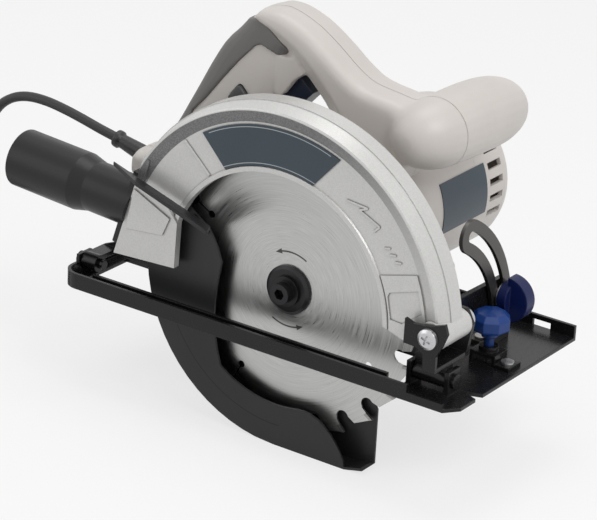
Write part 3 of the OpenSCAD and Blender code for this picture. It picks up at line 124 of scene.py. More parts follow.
paper_size = 8
paper_glow = 0.72
paper_white = (0.92, 0.92, 0.92, 1)
floor_z = cad_box[0][2]
deselect_all()
bpy.ops.mesh.primitive_plane_add(size=paper_size)
floor = bpy.context.object
floor.name = "studio_floor"
floor.data.transform(Matrix.Translation((0, 0, floor_z)))
paper = bpy.data.materials.new("studio_paper")
tree = new_graph(paper)
share = add_node(tree, "Math", {0: looked_at(tree), 1: paper_glow}, operation="MULTIPLY")
matt = add_node(tree, "BsdfDiffuse", {"Color": paper_white})
glow = add_node(tree, "Emission", {"Color": (1, 1, 1, 1)})
both = add_node(tree, "MixShader", {0: share.outputs[0], 1: matt.outputs[0], 2: glow.outputs[0]})
add_node(tree, "OutputMaterial", {"Surface": both.outputs[0]})
floor.data.materials.append(paper)

room_light = 0.38
room = bpy.data.worlds.new("studio_room")
scene.world = room
tree = new_graph(room)
dim = add_node(tree, "Background", {"Color": (1, 1, 1, 1), "Strength": room_light})
white = add_node(tree, "Background", {"Color": (1, 1, 1, 1), "Strength": 1.0})
both = add_node(tree, "MixShader", {0: looked_at(tree), 1: dim.outputs[0], 2: white.outputs[0]})
add_node(tree, "OutputWorld", {"Surface": both.outputs[0]})
saw_middle = Vector((0, 0, 0.05))


def soft_box(name, place, size, watts):
    lamp = bpy.data.lights.new(name, "AREA")
    lamp.size = size
    lamp.energy = watts
    holder = bpy.data.objects.new(name, lamp)
    scene.collection.objects.link(holder)
    toward_saw = saw_middle - Vector(place)
    aim = toward_saw.to_track_quat("-Z", "Y").to_matrix().to_4x4()
    holder.matrix_world = Matrix.Translation(place) @ aim


soft_box("key_box", (1.3, -0.5, 1.5), size=0.9, watts=15)
soft_box("fill_box", (-1.5, -1.3, 0.8), size=1.2, watts=4.5)
soft_box("top_box", (-0.2, 0.2, 1.7), size=1.0, watts=8)

# Mains lead: round black rubber flex with a moulded plug, the spare length wound in a coil and tied.
# It leaves the sleeve at the rear of the handle, hangs to the floor and runs into the coil.
noise_span = {1: 0.3, 2: 0.7}


def finish(
    name, colour, roughness, metallic=0.0, grain=0.5, depth=0.1, mottle=0.06, edge=0.4, flake=0.0, shine=0.5,
    crease_shade=0.0, mark=None,
):
    """A surface with grain and arris radius in millimetres; mottle and flake are shares of the colour.

    shine is the strength of the mirror-like part, and the crease share is painted shade that darkens the
    inner corners. mark draws on the surface: given the tree and the place, it returns a colour and a mask.
    """
    patches_per_metre = 28.0
    grain_height = 0.3 * MM
    gloss_spread = 0.06
    shade_reach = 1.4 * MM
    shut_in, open_air = 0.55, 0.9
    made = bpy.data.materials.new(name)
    tree = new_graph(made)
    place = add_node(tree, "TexCoord").outputs["Object"]
    fine = add_node(tree, "TexNoise", {"Vector": place, "Scale": 1 / (grain * MM), "Detail": 2.0}).outputs[0]
    patches = {"Vector": place, "Scale": patches_per_metre, "Detail": 4.0}
    broad = add_node(tree, "TexNoise", patches).outputs[0]
    tone = add_node(tree, "MapRange", {0: broad, **noise_span, 3: 1 - mottle, 4: 1 + mottle}).outputs[0]
    if flake:
        flake_size = 1.6 * grain * MM
        cell = add_node(tree, "TexVoronoi", {"Vector": place, "Scale": 1 / flake_size}).outputs["Color"]
        spark = add_node(tree, "MapRange", {0: cell, 1: 0.0, 2: 1.0, 3: 1 - flake, 4: 1 + flake}).outputs[0]
        tone = add_node(tree, "Math", {0: tone, 1: spark}, operation="MULTIPLY").outputs[0]
    shade = add_node(tree, "VectorMath", {0: colour, "Scale": tone}, operation="SCALE").outputs[0]
    if mark:
        painted_mark, mask = mark(tree, place)
        apart = add_node(tree, "VectorMath", {0: painted_mark, 1: shade}, operation="SUBTRACT").outputs[0]
        part = add_node(tree, "VectorMath", {0: apart, "Scale": mask}, operation="SCALE").outputs[0]
        shade = add_node(tree, "VectorMath", {0: shade, 1: part}, operation="ADD").outputs[0]
    # Painted shade: ambient occlusion darkens the colour in the inner corners and creases.
    if crease_shade:
        shelter = add_node(tree, "AmbientOcclusion", {"Distance": shade_reach}, samples=8).outputs["AO"]
        shade_range = {0: shelter, 1: shut_in, 2: open_air, 3: 1 - crease_shade, 4: 1.0}
        lit_share = add_node(tree, "MapRange", shade_range).outputs[0]
        shade = add_node(tree, "VectorMath", {0: shade, "Scale": lit_share}, operation="SCALE").outputs[0]
    smoothest = max(roughness - gloss_spread, 0.02)
    gloss = {0: fine, 1: 0.25, 2: 0.75, 3: smoothest, 4: roughness + gloss_spread}
    rough = add_node(tree, "MapRange", gloss).outputs[0]
    arris = add_node(tree, "Bevel", {"Radius": edge * MM}, samples=4).outputs[0]
    relief = {"Strength": depth, "Distance": grain_height, "Height": fine, "Normal": arris}
    bump = add_node(tree, "Bump", relief).outputs[0]
    skin = add_node(tree, "BsdfPrincipled", {"Base Color": shade, "Roughness": rough, "Normal": bump})
    skin.inputs["Metallic"].default_value = metallic
    skin.inputs["Specular IOR Level"].default_value = shine
    add_node(tree, "OutputMaterial", {"Surface": skin.outputs[0]})
    return made


def dress(material, *names):
    """A CAD node keeps its shape and takes this material."""
    for name in names:
        for holder in nodes[name].material_slots:
            holder.material = material


def stand_for(piece, material, *names):
    """A new piece takes the place, the body and the finish of these CAD nodes."""
    piece.data.materials.clear()
    piece.data.materials.append(material)
    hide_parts(*names)
    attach(piece, nodes[names[0]]["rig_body"])


flex_rubber = finish("flex_rubber", (0.018, 0.018, 0.019), 0.5, grain=0.8, depth=0.12)
plug_rubber = finish("plug_rubber", (0.02, 0.02, 0.021), 0.42, grain=0.6, depth=0.1, edge=0.8)
tie_plastic = finish("tie_plastic", (0.03, 0.03, 0.032), 0.35, grain=0.6, depth=0.05)
handle_y = 14
cord_d = 6.4
tie_t = 0.8
tie_gap = 0.1
low_z = floor_z / MM + tie_t + tie_gap + cord_d / 2
coil_pitch = 6.9
top_z = low_z + coil_pitch
cord_route = [
    (-176, 67.5), (-190, 70.2), (-205, 73.5), (-220, 76.3), (-235, 78), (-250, 77.3),
    (-263, 73), (-274, 64.5), (-281, 52), (-284, 36), (-284.5, 18), (-284.5, 0),
    (-284.5, -13), (-285, -25), (-287.6, -36), (-292.8, -45.5), (-300.6, -52.8), (-310, top_z + 1),
]
lead_points = [(x, handle_y, z) for x, z in cord_route]
coil_r = 49
coil_turns = 3.375
loop_rings = 24
layer_rings = round(coil_turns * loop_rings)
climb_rings = loop_rings // 2
coil_x = -320
coil_y = handle_y - coil_r
least_r = coil_r - coil_pitch * coil_turns
for ring in range(2 * layer_rings + climb_rings + 1):
    climbed = min(max(ring - layer_rings, 0), climb_rings)
    out = max(ring - layer_rings - climb_rings, 0)
    r = max(coil_r - coil_pitch * ring / loop_rings, least_r) + coil_pitch * out / loop_rings
    angle = math.radians(90 + ring * 360 / loop_rings)
    z = top_z - coil_pitch * climbed / climb_rings
    lead_points.append((coil_x + r * math.cos(angle), coil_y + r * math.sin(angle), z))
tail_x = coil_x - coil_r
plug_half = 8
plug_z = floor_z / MM + plug_half
tail_route = [(8, low_z), (18, low_z + 0.6), (28, plug_z - 0.3), (36, plug_z)]
lead_points += [(tail_x, coil_y - run, z) for run, z in tail_route]
lead_data = bpy.data.curves.new("mains_lead", "CURVE")
lead_data.dimensions = "3D"
lead_data.bevel_depth = cord_d / 2 * MM
lead_data.bevel_resolution = 3
lead_data.resolution_u = 4
lead_data.use_fill_caps = True
line = lead_data.splines.new("BEZIER")
line.bezier_points.add(len(lead_points) - 1)
for number, (knot, place) in enumerate(zip(line.bezier_points, lead_points)):
    before = Vector(lead_points[max(number - 1, 0)])
    after = Vector(lead_points[min(number + 1, len(lead_points) - 1)])
    here = Vector(place)
    heading = (after - before).normalized()
    knot.co = here * MM
    knot.handle_left_type = knot.handle_right_type = "FREE"
    knot.handle_left = (here - heading * (here - before).length / 3) * MM
    knot.handle_right = (here + heading * (after - here).length / 3) * MM
mains_lead = bpy.data.objects.new("mains_lead", lead_data)
scene.collection.objects.link(mains_lead)
stand_for(mains_lead, flex_rubber, "power_cord", "cord_coil")
dress(plug_rubber, "mains_plug", "strain_relief")
dress(tie_plastic, "cord_tie")

# Sole: a pressed steel sheet with turned-up rims, sprayed gloss black.
# The front bracket, the fence bridge and the depth arc are pressed too and have the same paint.
black_coat = {"grain": 1.2, "depth": 0.06, "mottle": 0.1, "edge": 0.7, "shine": 0.28}
black_paint = finish("black_gloss_paint", (0.009, 0.009, 0.010), 0.24, **black_coat)
dress(black_paint, "sole_plate", "front_bracket", "fence_bridge", "depth_arc")

# Bevel quadrant, hinge pins and fasteners: a pressed quadrant in gunmetal steel, riveted to the sole.
# The pins are painted with the sole, and the bolt, screws, stud, washer and rivets are plated with zinc.
gunmetal = (0.10, 0.095, 0.09)
zinc = (0.55, 0.55, 0.56)
quadrant_steel = finish("gunmetal_steel", gunmetal, 0.38, 0.9, grain=0.5, depth=0.08, mottle=0.12)
zinc_steel = finish("zinc_steel", zinc, 0.3, 1.0, grain=0.35, depth=0.08, mottle=0.08, edge=0.25)
dress(quadrant_steel, "bevel_quadrant")
dress(black_paint, "front_hinge_pin", "rear_hinge_pin")
dress(zinc_steel, "quadrant_rivets", "bevel_bolt", "bevel_washer")
dress(zinc_steel, "depth_pivot_screw", "cover_screws", "dust_port_screws", "depth_stud", "handle_screws")

# Clamp knobs: moulded plastic, blue on the fence and dark blue on the bevel bolt.
# The first screws into the bridge over the fence slot and the second on to the bolt in the quadrant.
knob_skin = {"grain": 0.7, "depth": 0.06, "edge": 1.2}
fence_blue = finish("fence_blue_plastic", (0.005, 0.038, 0.19), 0.35, shine=0.35, **knob_skin)
bevel_blue = finish("bevel_blue_plastic", (0.004, 0.010, 0.07), 0.38, shine=0.3, **knob_skin)
dress(fence_blue, "fence_knob")
dress(bevel_blue, "bevel_knob")


# Upper guard: a die-cast rear half that carries the gears and a front cover, both sprayed in silver.
# The sloping band inside the cover's rim carries painted shade, a darker speckled grey that fades to the
# front, and painted shade darkens the corners of the cover's cast marks.
def smooth_step(tree, value, start, end):
    """Runs from 0 at start to 1 at end."""
    limits = {"Value": value, "From Min": min(start, end), "From Max": max(start, end)}
    limits["To Min"], limits["To Max"] = (0.0, 1.0) if start < end else (1.0, 0.0)
    return add_node(tree, "MapRange", limits, interpolation_type="SMOOTHSTEP").outputs[0]


def product(tree, first, second):
    return add_node(tree, "Math", {0: first, 1: second}, operation="MULTIPLY").outputs[0]


def between(tree, value, low, high, blur):
    """1 from low to high, with an edge as wide as blur."""
    rise = smooth_step(tree, value, low - blur, low)
    return product(tree, rise, smooth_step(tree, value, high + blur, high))


arbor = (0, 31)


def about_arbor(tree, place):
    """Radius in millimetres, turn in degrees and Y in millimetres, about the blade's axis."""
    to_arbor = (-arbor[0], 0, -arbor[1])
    scaled = add_node(tree, "VectorMath", {0: place, "Scale": 1 / MM}, operation="SCALE").outputs[0]
    centred = add_node(tree, "VectorMath", {0: scaled, 1: to_arbor}, operation="ADD").outputs[0]
    axes = add_node(tree, "SeparateXYZ", {0: centred}).outputs
    flat = add_node(tree, "CombineXYZ", {"X": axes["X"], "Y": axes["Z"]}).outputs[0]
    radius = add_node(tree, "VectorMath", {0: flat}, operation="LENGTH").outputs["Value"]
    turn = add_node(tree, "Math", {0: axes["Z"], 1: axes["X"]}, operation="ARCTAN2").outputs[0]
    degrees = product(tree, turn, 180 / math.pi)
    return radius, degrees, axes["Y"]


# Painted shade on the sloping band: darker speckled grey, full from the top to the rear, fading towards the
# front.
def painted_band_shade(tree, place):
    band_inner, band_outer = 108.3, 115.2
    behind_face, on_face = -57.2, -57.6
    faded, full, rear_end, rear_full = 5, 82, 155, 154.5
    specks_per_metre = 1100.0
    darkest, palest = 0.13, 0.23
    radius, turn, y = about_arbor(tree, place)
    on_band = between(tree, radius, band_inner, band_outer, blur=0.25)
    on_front = smooth_step(tree, y, behind_face, on_face)
    on_arc = product(tree, smooth_step(tree, turn, faded, full), smooth_step(tree, turn, rear_end, rear_full))
    specks = {"Vector": place, "Scale": specks_per_metre, "Detail": 2.0}
    speck = add_node(tree, "TexNoise", specks).outputs[0]
    tone = add_node(tree, "MapRange", {0: speck, **noise_span, 3: darkest, 4: palest}).outputs[0]
    painted_mark = add_node(tree, "CombineXYZ", {"X": tone, "Y": tone, "Z": tone}).outputs[0]
    return painted_mark, product(tree, product(tree, on_band, on_front), on_arc)


silver = (0.62, 0.615, 0.60)
silver_coat = {"grain": 0.4, "depth": 0.12, "mottle": 0.02, "edge": 0.6, "flake": 0.07}
silver_paint = finish("silver_paint", silver, 0.36, 0.35, **silver_coat)
# The cover's coat takes painted shade in the corners of its cast marks.
shaded_coat = {**silver_coat, "edge": 0.2, "crease_shade": 0.55}
band_shaded_paint = finish("band_shaded_silver_paint", silver, 0.36, 0.35, mark=painted_band_shade, **shaded_coat)
raw_metal = (0.5, 0.5, 0.49)
raw_casting = finish("raw_casting", raw_metal, 0.45, 0.8, grain=0.9, depth=0.3, mottle=0.06, flake=0.08)
dress(silver_paint, "guard_casting")
dress(band_shaded_paint, "guard_cover")
dress(raw_casting, "gear_case", "guard_retainer")


# Badge plate: a slate-blue metal plate with a printed border, stuck on the face of the cover.
# The rating plate on the motor is the same sheet, left bare.
def border_line(tree, place):
    inner_r, outer_r, line_w = 83.0, 104.9, 0.35
    front_end, rear_end = 70.5, 119.5
    pale_ink = (0.42, 0.45, 0.47)
    radius, turn, _ = about_arbor(tree, place)
    lines = [between(tree, radius, r, r + line_w, blur=0.1) for r in (inner_r, outer_r)]
    either = add_node(tree, "Math", {0: lines[0], 1: lines[1]}, operation="MAXIMUM").outputs[0]
    return pale_ink, product(tree, either, between(tree, turn, front_end, rear_end, blur=0.2))


slate = (0.042, 0.062, 0.08)
plate_skin = {"grain": 0.3, "depth": 0.03, "mottle": 0.05, "edge": 0.25}
slate_plate = finish("slate_plate", slate, 0.32, 0.2, mark=border_line, **plate_skin)
plain_plate = finish("plain_plate", slate, 0.32, 0.2, **plate_skin)
dress(slate_plate, "badge_plate")
dress(plain_plate, "rating_plate")

# Dust port and depth lever: black moulded plastic. The port is screwed to the rear of the guard,
# and the lever turns on the stud that clamps the depth arc.
soot = (0.012, 0.012, 0.013)
black_plastic = finish("black_plastic", soot, 0.36, grain=0.6, depth=0.08, edge=0.7, shine=0.32)
dress(black_plastic, "dust_port", "depth_lever")

# Spindle, gear, flanges, bearings and motor shaft: turned and ground steel, pressed or bolted together.
# The outer flange and the blade's bolt, which are in view, are blackened.
bright_steel = (0.5, 0.5, 0.51)
blackened = (0.03, 0.03, 0.032)
ground_steel = finish("ground_steel", bright_steel, 0.25, 1.0, grain=0.3, depth=0.05, mottle=0.06, edge=0.25)
black_steel = finish("black_steel", blackened, 0.35, 0.8, grain=0.4, depth=0.08, edge=0.3)
dress(ground_steel, "spindle", "spindle_front_bearing", "spindle_rear_bearing", "drive_gear", "inner_flange")
dress(ground_steel, "armature_shaft", "motor_front_bearing", "motor_rear_bearing")
dress(black_steel, "outer_flange", "blade_bolt")


# Saw blade: a ground steel disc with carbide tips brazed on, and two printed arrows for the turn.
# The grinder leaves fine rings round the bore, so the grain runs round the disc.
def curved_arrow(tree, radius, turn, r, start, tip):
    """A bar at radius r from start to tip in degrees, with a head that widens away from the tip."""
    bar_half, head_l, head_slope = 0.45, 12, 0.15
    bar_end = tip - head_l + 1
    on_ring = between(tree, radius, r - bar_half, r + bar_half, blur=0.12)
    bar = product(tree, on_ring, between(tree, turn, start, bar_end, blur=0.2))
    back = add_node(tree, "Math", {0: tip, 1: turn}, operation="SUBTRACT").outputs[0]
    spread = add_node(tree, "Math", {0: radius, 1: r}, operation="SUBTRACT").outputs[0]
    wide = add_node(tree, "Math", {0: spread}, operation="ABSOLUTE").outputs[0]
    head_half = product(tree, back, head_slope)
    inside = add_node(tree, "Math", {0: head_half, 1: wide}, operation="SUBTRACT").outputs[0]
    head = product(tree, smooth_step(tree, inside, 0.0, 0.15), smooth_step(tree, back, head_l + 0.2, head_l))
    return add_node(tree, "Math", {0: bar, 1: head}, operation="MAXIMUM").outputs[0]


def ground_disc(name, colour):
    rings_per_mm = 1.6
    breaks_per_degree = 0.045
    darkest, palest = 0.86, 1.12
    smoothest, roughest = 0.26, 0.42
    ring_height = 0.1 * MM
    ink_tone = 0.16
    arrow_r, arrow_sweep, arrow_starts = 24, 56, (62, -118)
    made = bpy.data.materials.new(name)
    tree = new_graph(made)
    place = add_node(tree, "TexCoord").outputs["Object"]
    radius, turn, _ = about_arbor(tree, place)
    ring_place = product(tree, radius, rings_per_mm)
    along = product(tree, turn, breaks_per_degree)
    polar = add_node(tree, "CombineXYZ", {"X": ring_place, "Y": along}).outputs[0]
    rings = add_node(tree, "TexNoise", {"Vector": polar, "Scale": 1.0, "Detail": 3.0}).outputs[0]
    tone = add_node(tree, "MapRange", {0: rings, **noise_span, 3: darkest, 4: palest}).outputs[0]
    arrows = [curved_arrow(tree, radius, turn, arrow_r, a, a + arrow_sweep) for a in arrow_starts]
    painted_mark = add_node(tree, "Math", {0: arrows[0], 1: arrows[1]}, operation="MAXIMUM").outputs[0]
    clear = add_node(tree, "MapRange", {0: painted_mark, 1: 0.0, 2: 1.0, 3: 1.0, 4: ink_tone}).outputs[0]
    printed = product(tree, tone, clear)
    shade = add_node(tree, "VectorMath", {0: colour, "Scale": printed}, operation="SCALE").outputs[0]
    rough = add_node(tree, "MapRange", {0: rings, **noise_span, 3: smoothest, 4: roughest}).outputs[0]
    relief = {"Strength": 0.12, "Distance": ring_height, "Height": rings}
    bump = add_node(tree, "Bump", relief).outputs[0]
    skin = add_node(tree, "BsdfPrincipled", {"Base Color": shade, "Roughness": rough, "Normal": bump})
    skin.inputs["Metallic"].default_value = 1.0
    skin.inputs["Anisotropic"].default_value = 0.7
    to_arbor = (-arbor[0] * MM, 0, -arbor[1] * MM)
    outward = add_node(tree, "VectorMath", {0: place, 1: to_arbor}, operation="ADD").outputs[0]
    axis_and_outward = {0: (0, 1, 0), 1: outward}
    round_axis = add_node(tree, "VectorMath", axis_and_outward, operation="CROSS_PRODUCT").outputs[0]
    to_world = {"vector_type": "VECTOR", "convert_from": "OBJECT", "convert_to": "WORLD"}
    grain_way = add_node(tree, "VectorTransform", {0: round_axis}, **to_world).outputs[0]
    tree.links.new(grain_way, skin.inputs["Tangent"])
    add_node(tree, "OutputMaterial", {"Surface": skin.outputs[0]})
    return made


blade_steel = ground_disc("ground_blade", (0.50, 0.50, 0.49))
carbide = finish("carbide", (0.32, 0.31, 0.30), 0.35, 0.9, grain=0.3, depth=0.1, edge=0.15)
dress(blade_steel, "saw_blade")
dress(carbide, "carbide_tips")


# Lower guard: a swinging pressed shell in dark grey paint, with painted shadow along a scribed line round its
# plate, the finger lever riveted to it and the spring that shuts it.
def scribed_line_shadow(tree, place):
    line_inner, line_outer = 86.2, 86.7
    rear_end, front_end = -160, -88
    shadow = (0.004, 0.004, 0.004)
    radius, turn, _ = about_arbor(tree, place)
    line = between(tree, radius, line_inner, line_outer, blur=0.15)
    return shadow, product(tree, line, between(tree, turn, rear_end, front_end, blur=0.3))


dark_grey = (0.022, 0.022, 0.024)
guard_coat = {"grain": 0.6, "mottle": 0.1, "edge": 0.6, "shine": 0.35}
guard_paint = finish("dark_guard_paint", dark_grey, 0.38, 0.1, mark=scribed_line_shadow, **guard_coat)
spring_steel = finish("spring_steel", (0.3, 0.3, 0.31), 0.3, 1.0, grain=0.3, depth=0.05, edge=0.2)
dress(guard_paint, "lower_guard", "guard_lever")
dress(spring_steel, "guard_spring")

# Motor: a moulded cream housing and end cap over the field, armature, fan, commutator and brushes.
# The cores are stacked sheet steel, the windings copper wire, and the switch is moulded like the fan.
cream = (0.66, 0.62, 0.585)
cream_plastic = finish("cream_plastic", cream, 0.42, grain=0.5, depth=0.1, mottle=0.03, edge=0.9)
core_steel = finish("core_steel", (0.16, 0.16, 0.17), 0.45, 0.8, grain=0.35, depth=0.2)
copper_wire = finish("copper_wire", (0.6, 0.24, 0.1), 0.32, 1.0, grain=0.7, depth=0.4, mottle=0.12)
fan_plastic = finish("fan_plastic", (0.03, 0.03, 0.033), 0.4, grain=0.6, depth=0.08)
brush_carbon = finish("brush_carbon", (0.03, 0.03, 0.03), 0.7, grain=0.3, depth=0.2)
dress(cream_plastic, "motor_housing", "motor_end_cap")
dress(core_steel, "stator_core", "armature_core")
dress(copper_wire, "field_windings", "commutator")
dress(fan_plastic, "cooling_fan", "brush_holders", "switch_unit")
dress(brush_carbon, "carbon_brushes")


# Handle: two moulded halves screwed together along the middle, with a grip, a front strut, a lower bridge
# and the round front grip. Smooth tubes are drawn along each, flow into one skin and are split in the middle.
def loft(name, rings):
    """A tube extruded from ring to ring and closed at both ends."""
    deselect_all()
    bpy.ops.mesh.primitive_circle_add(vertices=len(rings[0]), fill_type="NGON")
    piece = bpy.context.object
    piece.name = name
    bpy.ops.object.mode_set(mode="EDIT")
    bpy.ops.mesh.select_all(action="SELECT")
    order = {number: number for number in range(len(rings[0]))}
    for number, ring in enumerate(rings):
        if number:
            bpy.ops.mesh.extrude_region_move()
        shape = bmesh.from_edit_mesh(piece.data)
        shape.verts.index_update()
        raised = [v for v in shape.verts if v.select]
        if number:
            last, order = order, {}
            for v in raised:
                below = [e.other_vert(v) for e in v.link_edges if not e.other_vert(v).select]
                order[v.index] = last[below[0].index]
        for v in raised:
            v.co = Vector(ring[order[v.index]]) * MM
        bmesh.update_edit_mesh(piece.data)
    bpy.ops.mesh.select_all(action="SELECT")
    bpy.ops.mesh.normals_make_consistent(inside=False)
    bpy.ops.object.mode_set(mode="OBJECT")
    return piece


def smooth_path(stations, steps):
    """Points on a curve through the stations, steps for each span."""
    ends = [2 * stations[0] - stations[1]] + stations + [2 * stations[-1] - stations[-2]]
    path = []
    for a, b, c, d in zip(ends, ends[1:], ends[2:], ends[3:]):
        for step in range(steps):
            t = step / steps
            bow = (2 * a - 5 * b + 4 * c - d) * t * t
            twist = (3 * b - a - 3 * c + d) * t**3
            path.append((2 * b + (c - a) * t + bow + twist) / 2)
    return path + [stations[-1]]


pad_sides = 24
pad_power = 0.62
handle_t = 36
grip_near = 15


def squared(value):
    """Pushes a round section out towards a square."""
    return math.copysign(abs(value) ** pad_power, value)


def pad_section(width, grow, near):
    """A rounded pad; each point is a share across the path and a distance along Y."""
    section = []
    for side in range(pad_sides):
        angle = 2 * math.pi * side / pad_sides
        reach = handle_t / 2 if math.sin(angle) > 0 else near
        across = squared(math.cos(angle)) * (width / 2 + grow)
        section.append((across, squared(math.sin(angle)) * (reach + grow)))
    return section


def strut_section(width):
    """Flat sides, round upper edges and a broad chamfer along each lower edge."""
    top, side, slant = width / 2, handle_t / 2, 8
    round_r, drop = min(7, 0.35 * width), min(12, 0.5 * width)
    turns = [math.radians(a) for a in (0, 22.5, 45, 67.5, 90)]
    upper = [(top - round_r + round_r * math.cos(a), side - round_r + round_r * math.sin(a)) for a in turns]
    half = upper + [(drop - top, side), (-top, side - slant)]
    return half + [(w, -t) for w, t in reversed(half)]


def swept(stations, section, *sizes):
    """Rings square to a path in X and Z, as wide as each station's third number."""
    path = smooth_path([Vector(s) for s in stations], steps=5)
    rings = []
    for number, here in enumerate(path):
        run = path[min(number + 1, len(path) - 1)] - path[max(number - 1, 0)]
        across = Vector((-run[1], run[0])).normalized()
        ring = section(here[2], *sizes)
        rings.append([(here[0] + across[0] * w, handle_y + t, here[1] + across[1] * w) for w, t in ring])
    return rings


def round_rings(stations):
    """Round rings square to Y; each station is X, Y, Z and radius."""
    turns = [2 * math.pi * side / pad_sides for side in range(pad_sides)]
    path = smooth_path([Vector(s) for s in stations], steps=4)
    return [[(x + r * math.cos(a), y, z + r * math.sin(a)) for a in turns] for x, y, z, r in path]


def apply_modifier(piece, kind, **settings):
    change = piece.modifiers.new(kind.lower(), kind)
    for name, value in settings.items():
        setattr(change, name, value)
    deselect_all()
    piece.select_set(True)
    bpy.context.view_layer.objects.active = piece
    bpy.ops.object.modifier_apply(modifier=change.name)


def fuse(pieces, voxel, rounds):
    """Joins pieces, flows them into one skin and smooths it."""
    deselect_all()
    for piece in pieces:
        piece.select_set(True)
    bpy.context.view_layer.objects.active = pieces[0]
    bpy.ops.object.join()
    apply_modifier(pieces[0], "REMESH", mode="VOXEL", voxel_size=voxel * MM)
    apply_modifier(pieces[0], "SMOOTH", factor=0.5, iterations=rounds)
    return pieces[0]


def flow(piece, places, reach, rounds):
    """Smooths the skin near each place once more, so that the forms that meet there blend."""
    group = piece.vertex_groups.new(name="flow")
    for v in piece.data.vertices:
        share = max(1 - (v.co - Vector(p) * MM).length / (reach * MM) for p in places)
        if share > 0:
            group.add([v.index], min(2 * share, 1), "REPLACE")
    apply_modifier(piece, "SMOOTH", factor=0.5, iterations=rounds, vertex_group="flow")
    piece.vertex_groups.clear()


def cut(piece, cutter, operation="DIFFERENCE"):
    apply_modifier(piece, "BOOLEAN", operation=operation, object=cutter, solver="EXACT")
    bpy.data.objects.remove(cutter)


def prism(name, outline, near, far):
    """An outline in X and Z made thick from near to far along Y."""
    return loft(name, [[(x, y, z) for x, z in outline] for y in (near, far)])


def rod(name, centre, near, far, r, sides=32):
    turns = [2 * math.pi * side / sides for side in range(sides)]
    outline = [(centre[0] + r * math.cos(a), centre[1] + r * math.sin(a)) for a in turns]
    return prism(name, outline, near, far)


def copy_of(piece, name):
    twin = bpy.data.objects.new(name, piece.data.copy())
    scene.collection.objects.link(twin)
    return twin


def keep_side(piece, plane_y, keep_near):
    """Cuts a piece square to Y, keeps one side and closes it."""
    deselect_all()
    piece.select_set(True)
    bpy.context.view_layer.objects.active = piece
    bpy.ops.object.mode_set(mode="EDIT")
    bpy.ops.mesh.select_all(action="SELECT")
    bpy.ops.mesh.bisect(
        plane_co=(0, plane_y * MM, 0), plane_no=(0, 1, 0), use_fill=True,
        clear_outer=keep_near, clear_inner=not keep_near,
    )
    bpy.ops.object.mode_set(mode="OBJECT")


def smooth_shade(piece, degrees):
    deselect_all()
    piece.select_set(True)
    bpy.context.view_layer.objects.active = piece
    bpy.ops.object.shade_smooth_by_angle(angle=math.radians(degrees))


grip_path = [
    (-49.4, 172.4, 31.4), (-55.5, 165.2, 34.5), (-61, 151.5, 47), (-66.6, 139.6, 52), (-78.3, 120.7, 51),
    (-94, 100.7, 42), (-108.5, 83.2, 33), (-123, 67.5, 27), (-142, 60, 20), (-153, 60.5, 18),
]
bridge_path = [(-118, 69, 28), (-100, 59, 29), (-75, 54, 31), (-40, 52, 34)]
strut_path = [
    (-60.5, 178.6, 8.5), (-54, 176.8, 15.5), (-45.3, 174.2, 20.5), (-31.2, 167.4, 24), (-17.3, 157.8, 26),
    (-2.6, 145.5, 29), (11, 135, 37), (30, 127, 46), (52, 122, 48),
]
front_path = [
    (57, -15, 130, 4), (57.2, -12.5, 130.2, 10), (58, -6, 130.6, 16.5), (59.5, 4, 131, 20.5),
    (62, 17, 132, 22), (66, 38, 134, 22.5), (69.5, 58, 135, 21.5), (71.3, 72, 135.3, 17.5),
    (72, 80.5, 135.3, 11), (72.3, 84, 135.2, 4),
]
motor_p = (2, 63.94)
motor_room_r = 50.2
motor_room_ends = (-60, 124)
trigger_pts = [
    (-60, 147), (-34, 148), (-22, 137.5), (-37, 121), (-52, 103), (-61, 97), (-69, 104), (-64, 113),
    (-57, 132),
]
trigger_pin = (-54, 142)
trigger_half = 8.5
trigger_pull = 8
trigger_room_gap = 0.9
trigger_side_gap = 0.7
web_half = 14.2
web_outline = [
    (-46, 132), (-40.5, 133.5), (-33.5, 143.5), (-29.5, 147), (-25.5, 150.5), (-33, 158), (-46, 158),
]
lock_corners = [(-70.8, 130.8), (-76.6, 123.6), (-67.6, 127.4)]
lock_r = 2
lock_gap = 0.6
lock_room_ends = (-30, 6)
screw_places = [(-130, 65), (-107, 88), (-8, 148), (38, 122)]
screw_room_r = 4
screw_room_ends = (handle_y + handle_t / 2 - 1.5, 60)
half_gap = 0.12
front_blends = [(50, 0, 130), (52, 30, 134), (36, 14, 116), (34, 14, 142)]
rear_blends = [(-112, 14, 66), (-100, 14, 70), (-60, 24, 180)]


def rounded(corners, r):
    """An outline at r from the corners' triangle, round at each corner."""
    corner_steps = 5
    outline = []
    for number, (x, z) in enumerate(corners):
        before, after = corners[number - 1], corners[(number + 1) % len(corners)]
        start = math.atan2(z - before[1], x - before[0]) - math.pi / 2
        sweep = (math.atan2(after[1] - z, after[0] - x) - math.pi / 2 - start) % (2 * math.pi)
        for step in range(corner_steps + 1):
            angle = start + sweep * step / corner_steps
            outline.append((x + r * math.cos(angle), z + r * math.sin(angle)))
    return outline


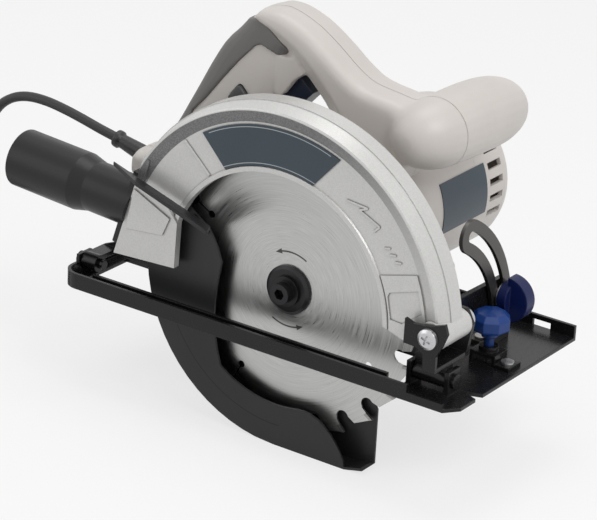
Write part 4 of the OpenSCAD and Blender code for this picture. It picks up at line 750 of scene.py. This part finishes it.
handle = fuse(
    [
        loft("handle", swept(grip_path, pad_section, 0, grip_near)),
        loft("bridge", swept(bridge_path, pad_section, 0, grip_near)),
        loft("strut", swept(strut_path, strut_section)),
        loft("front_grip", round_rings(front_path)),
        prism("inner_web", web_outline, handle_y - web_half, handle_y + web_half),
    ],
    voxel=1.2,
    rounds=3,
)
flow(handle, front_blends, reach=32, rounds=60)
flow(handle, rear_blends, reach=22, rounds=30)
cut(handle, rod("motor_room", motor_p, *motor_room_ends, motor_room_r, sides=96))
middle = Vector((sum(x for x, z in trigger_pts), sum(z for x, z in trigger_pts))) / len(trigger_pts)
room_half = trigger_half + trigger_side_gap
for pull in (0, trigger_pull):
    room = []
    for point in trigger_pts:
        away = Vector(point) - middle
        away = middle + away * (1 + trigger_room_gap / away.length) - Vector(trigger_pin)
        turned = Matrix.Rotation(math.radians(-pull), 2) @ away
        room.append(tuple(turned + Vector(trigger_pin)))
    cut(handle, prism("trigger_room", room, handle_y - room_half, handle_y + room_half))
cut(handle, prism("lock_room", rounded(lock_corners, lock_r + lock_gap), *lock_room_ends))
for place in screw_places:
    cut(handle, rod("screw_room", place, *screw_room_ends, screw_room_r))
for name, keep_near in (("handle_right", True), ("handle_left", False)):
    half = copy_of(handle, "moulded_" + name)
    keep_side(half, handle_y - half_gap if keep_near else handle_y + half_gap, keep_near)
    smooth_shade(half, degrees=40)
    stand_for(half, cream_plastic, name)
bpy.data.objects.remove(handle)

# Grip cover: soft grey rubber moulded over the back of the grip, a little proud of the plastic.
# A larger tube on the grip's own path is cut to the rubber's edge and its arrises are softened.
warm_grey = (0.155, 0.15, 0.144)
grip_rubber = finish("grip_rubber", warm_grey, 0.55, grain=0.7, depth=0.18, mottle=0.04, edge=0.8)
rubber_t = 1.5
bridge_gap = 0.1
edge_reach = 40
rubber_edge = [
    (-160, 175), (-72, 174), (-55.5, 179.2), (-49.3, 172.4), (-35, 161.5), (-42.7, 156.8), (-56.5, 162.2),
    (-60.7, 160.5), (-71.3, 149.3), (-84.3, 133.6), (-97, 117.5), (-106, 108), (-113, 92), (-124, 84),
    (-134, 86), (-160, 110),
]
grip_cover = loft("grip_cover", swept(grip_path, pad_section, rubber_t, grip_near))
edge_cutter = prism("rubber_edge", rubber_edge, handle_y - edge_reach, handle_y + edge_reach)
cut(grip_cover, edge_cutter, "INTERSECT")
cut(grip_cover, loft("clear_of_bridge", swept(bridge_path, pad_section, bridge_gap, grip_near)))
grip_cover = fuse([grip_cover], voxel=1.1, rounds=4)
smooth_shade(grip_cover, degrees=60)
stand_for(grip_cover, grip_rubber, "grip_overmould")

# Trigger and lock button: dark moulded plastic. The trigger swings on a pin and the three-sided button
# slides in its own hole in the near half of the handle.
trigger_plastic = finish("trigger_plastic", (0.006, 0.013, 0.035), 0.35, grain=0.5, depth=0.06, edge=1.5)
button_plastic = finish("button_plastic", (0.05, 0.05, 0.053), 0.4, grain=0.5, depth=0.06, edge=0.8)
dress(trigger_plastic, "trigger")
lock_near = -3.4
lock_far = 2.4
lock_edge = {"width": 0.9 * MM, "segments": 3, "limit_method": "ANGLE", "angle_limit": math.radians(50)}
lock_key = prism("lock_key", rounded(lock_corners, lock_r), lock_near, lock_far)
apply_modifier(lock_key, "BEVEL", **lock_edge)
smooth_shade(lock_key, degrees=40)
stand_for(lock_key, button_plastic, "lock_button")
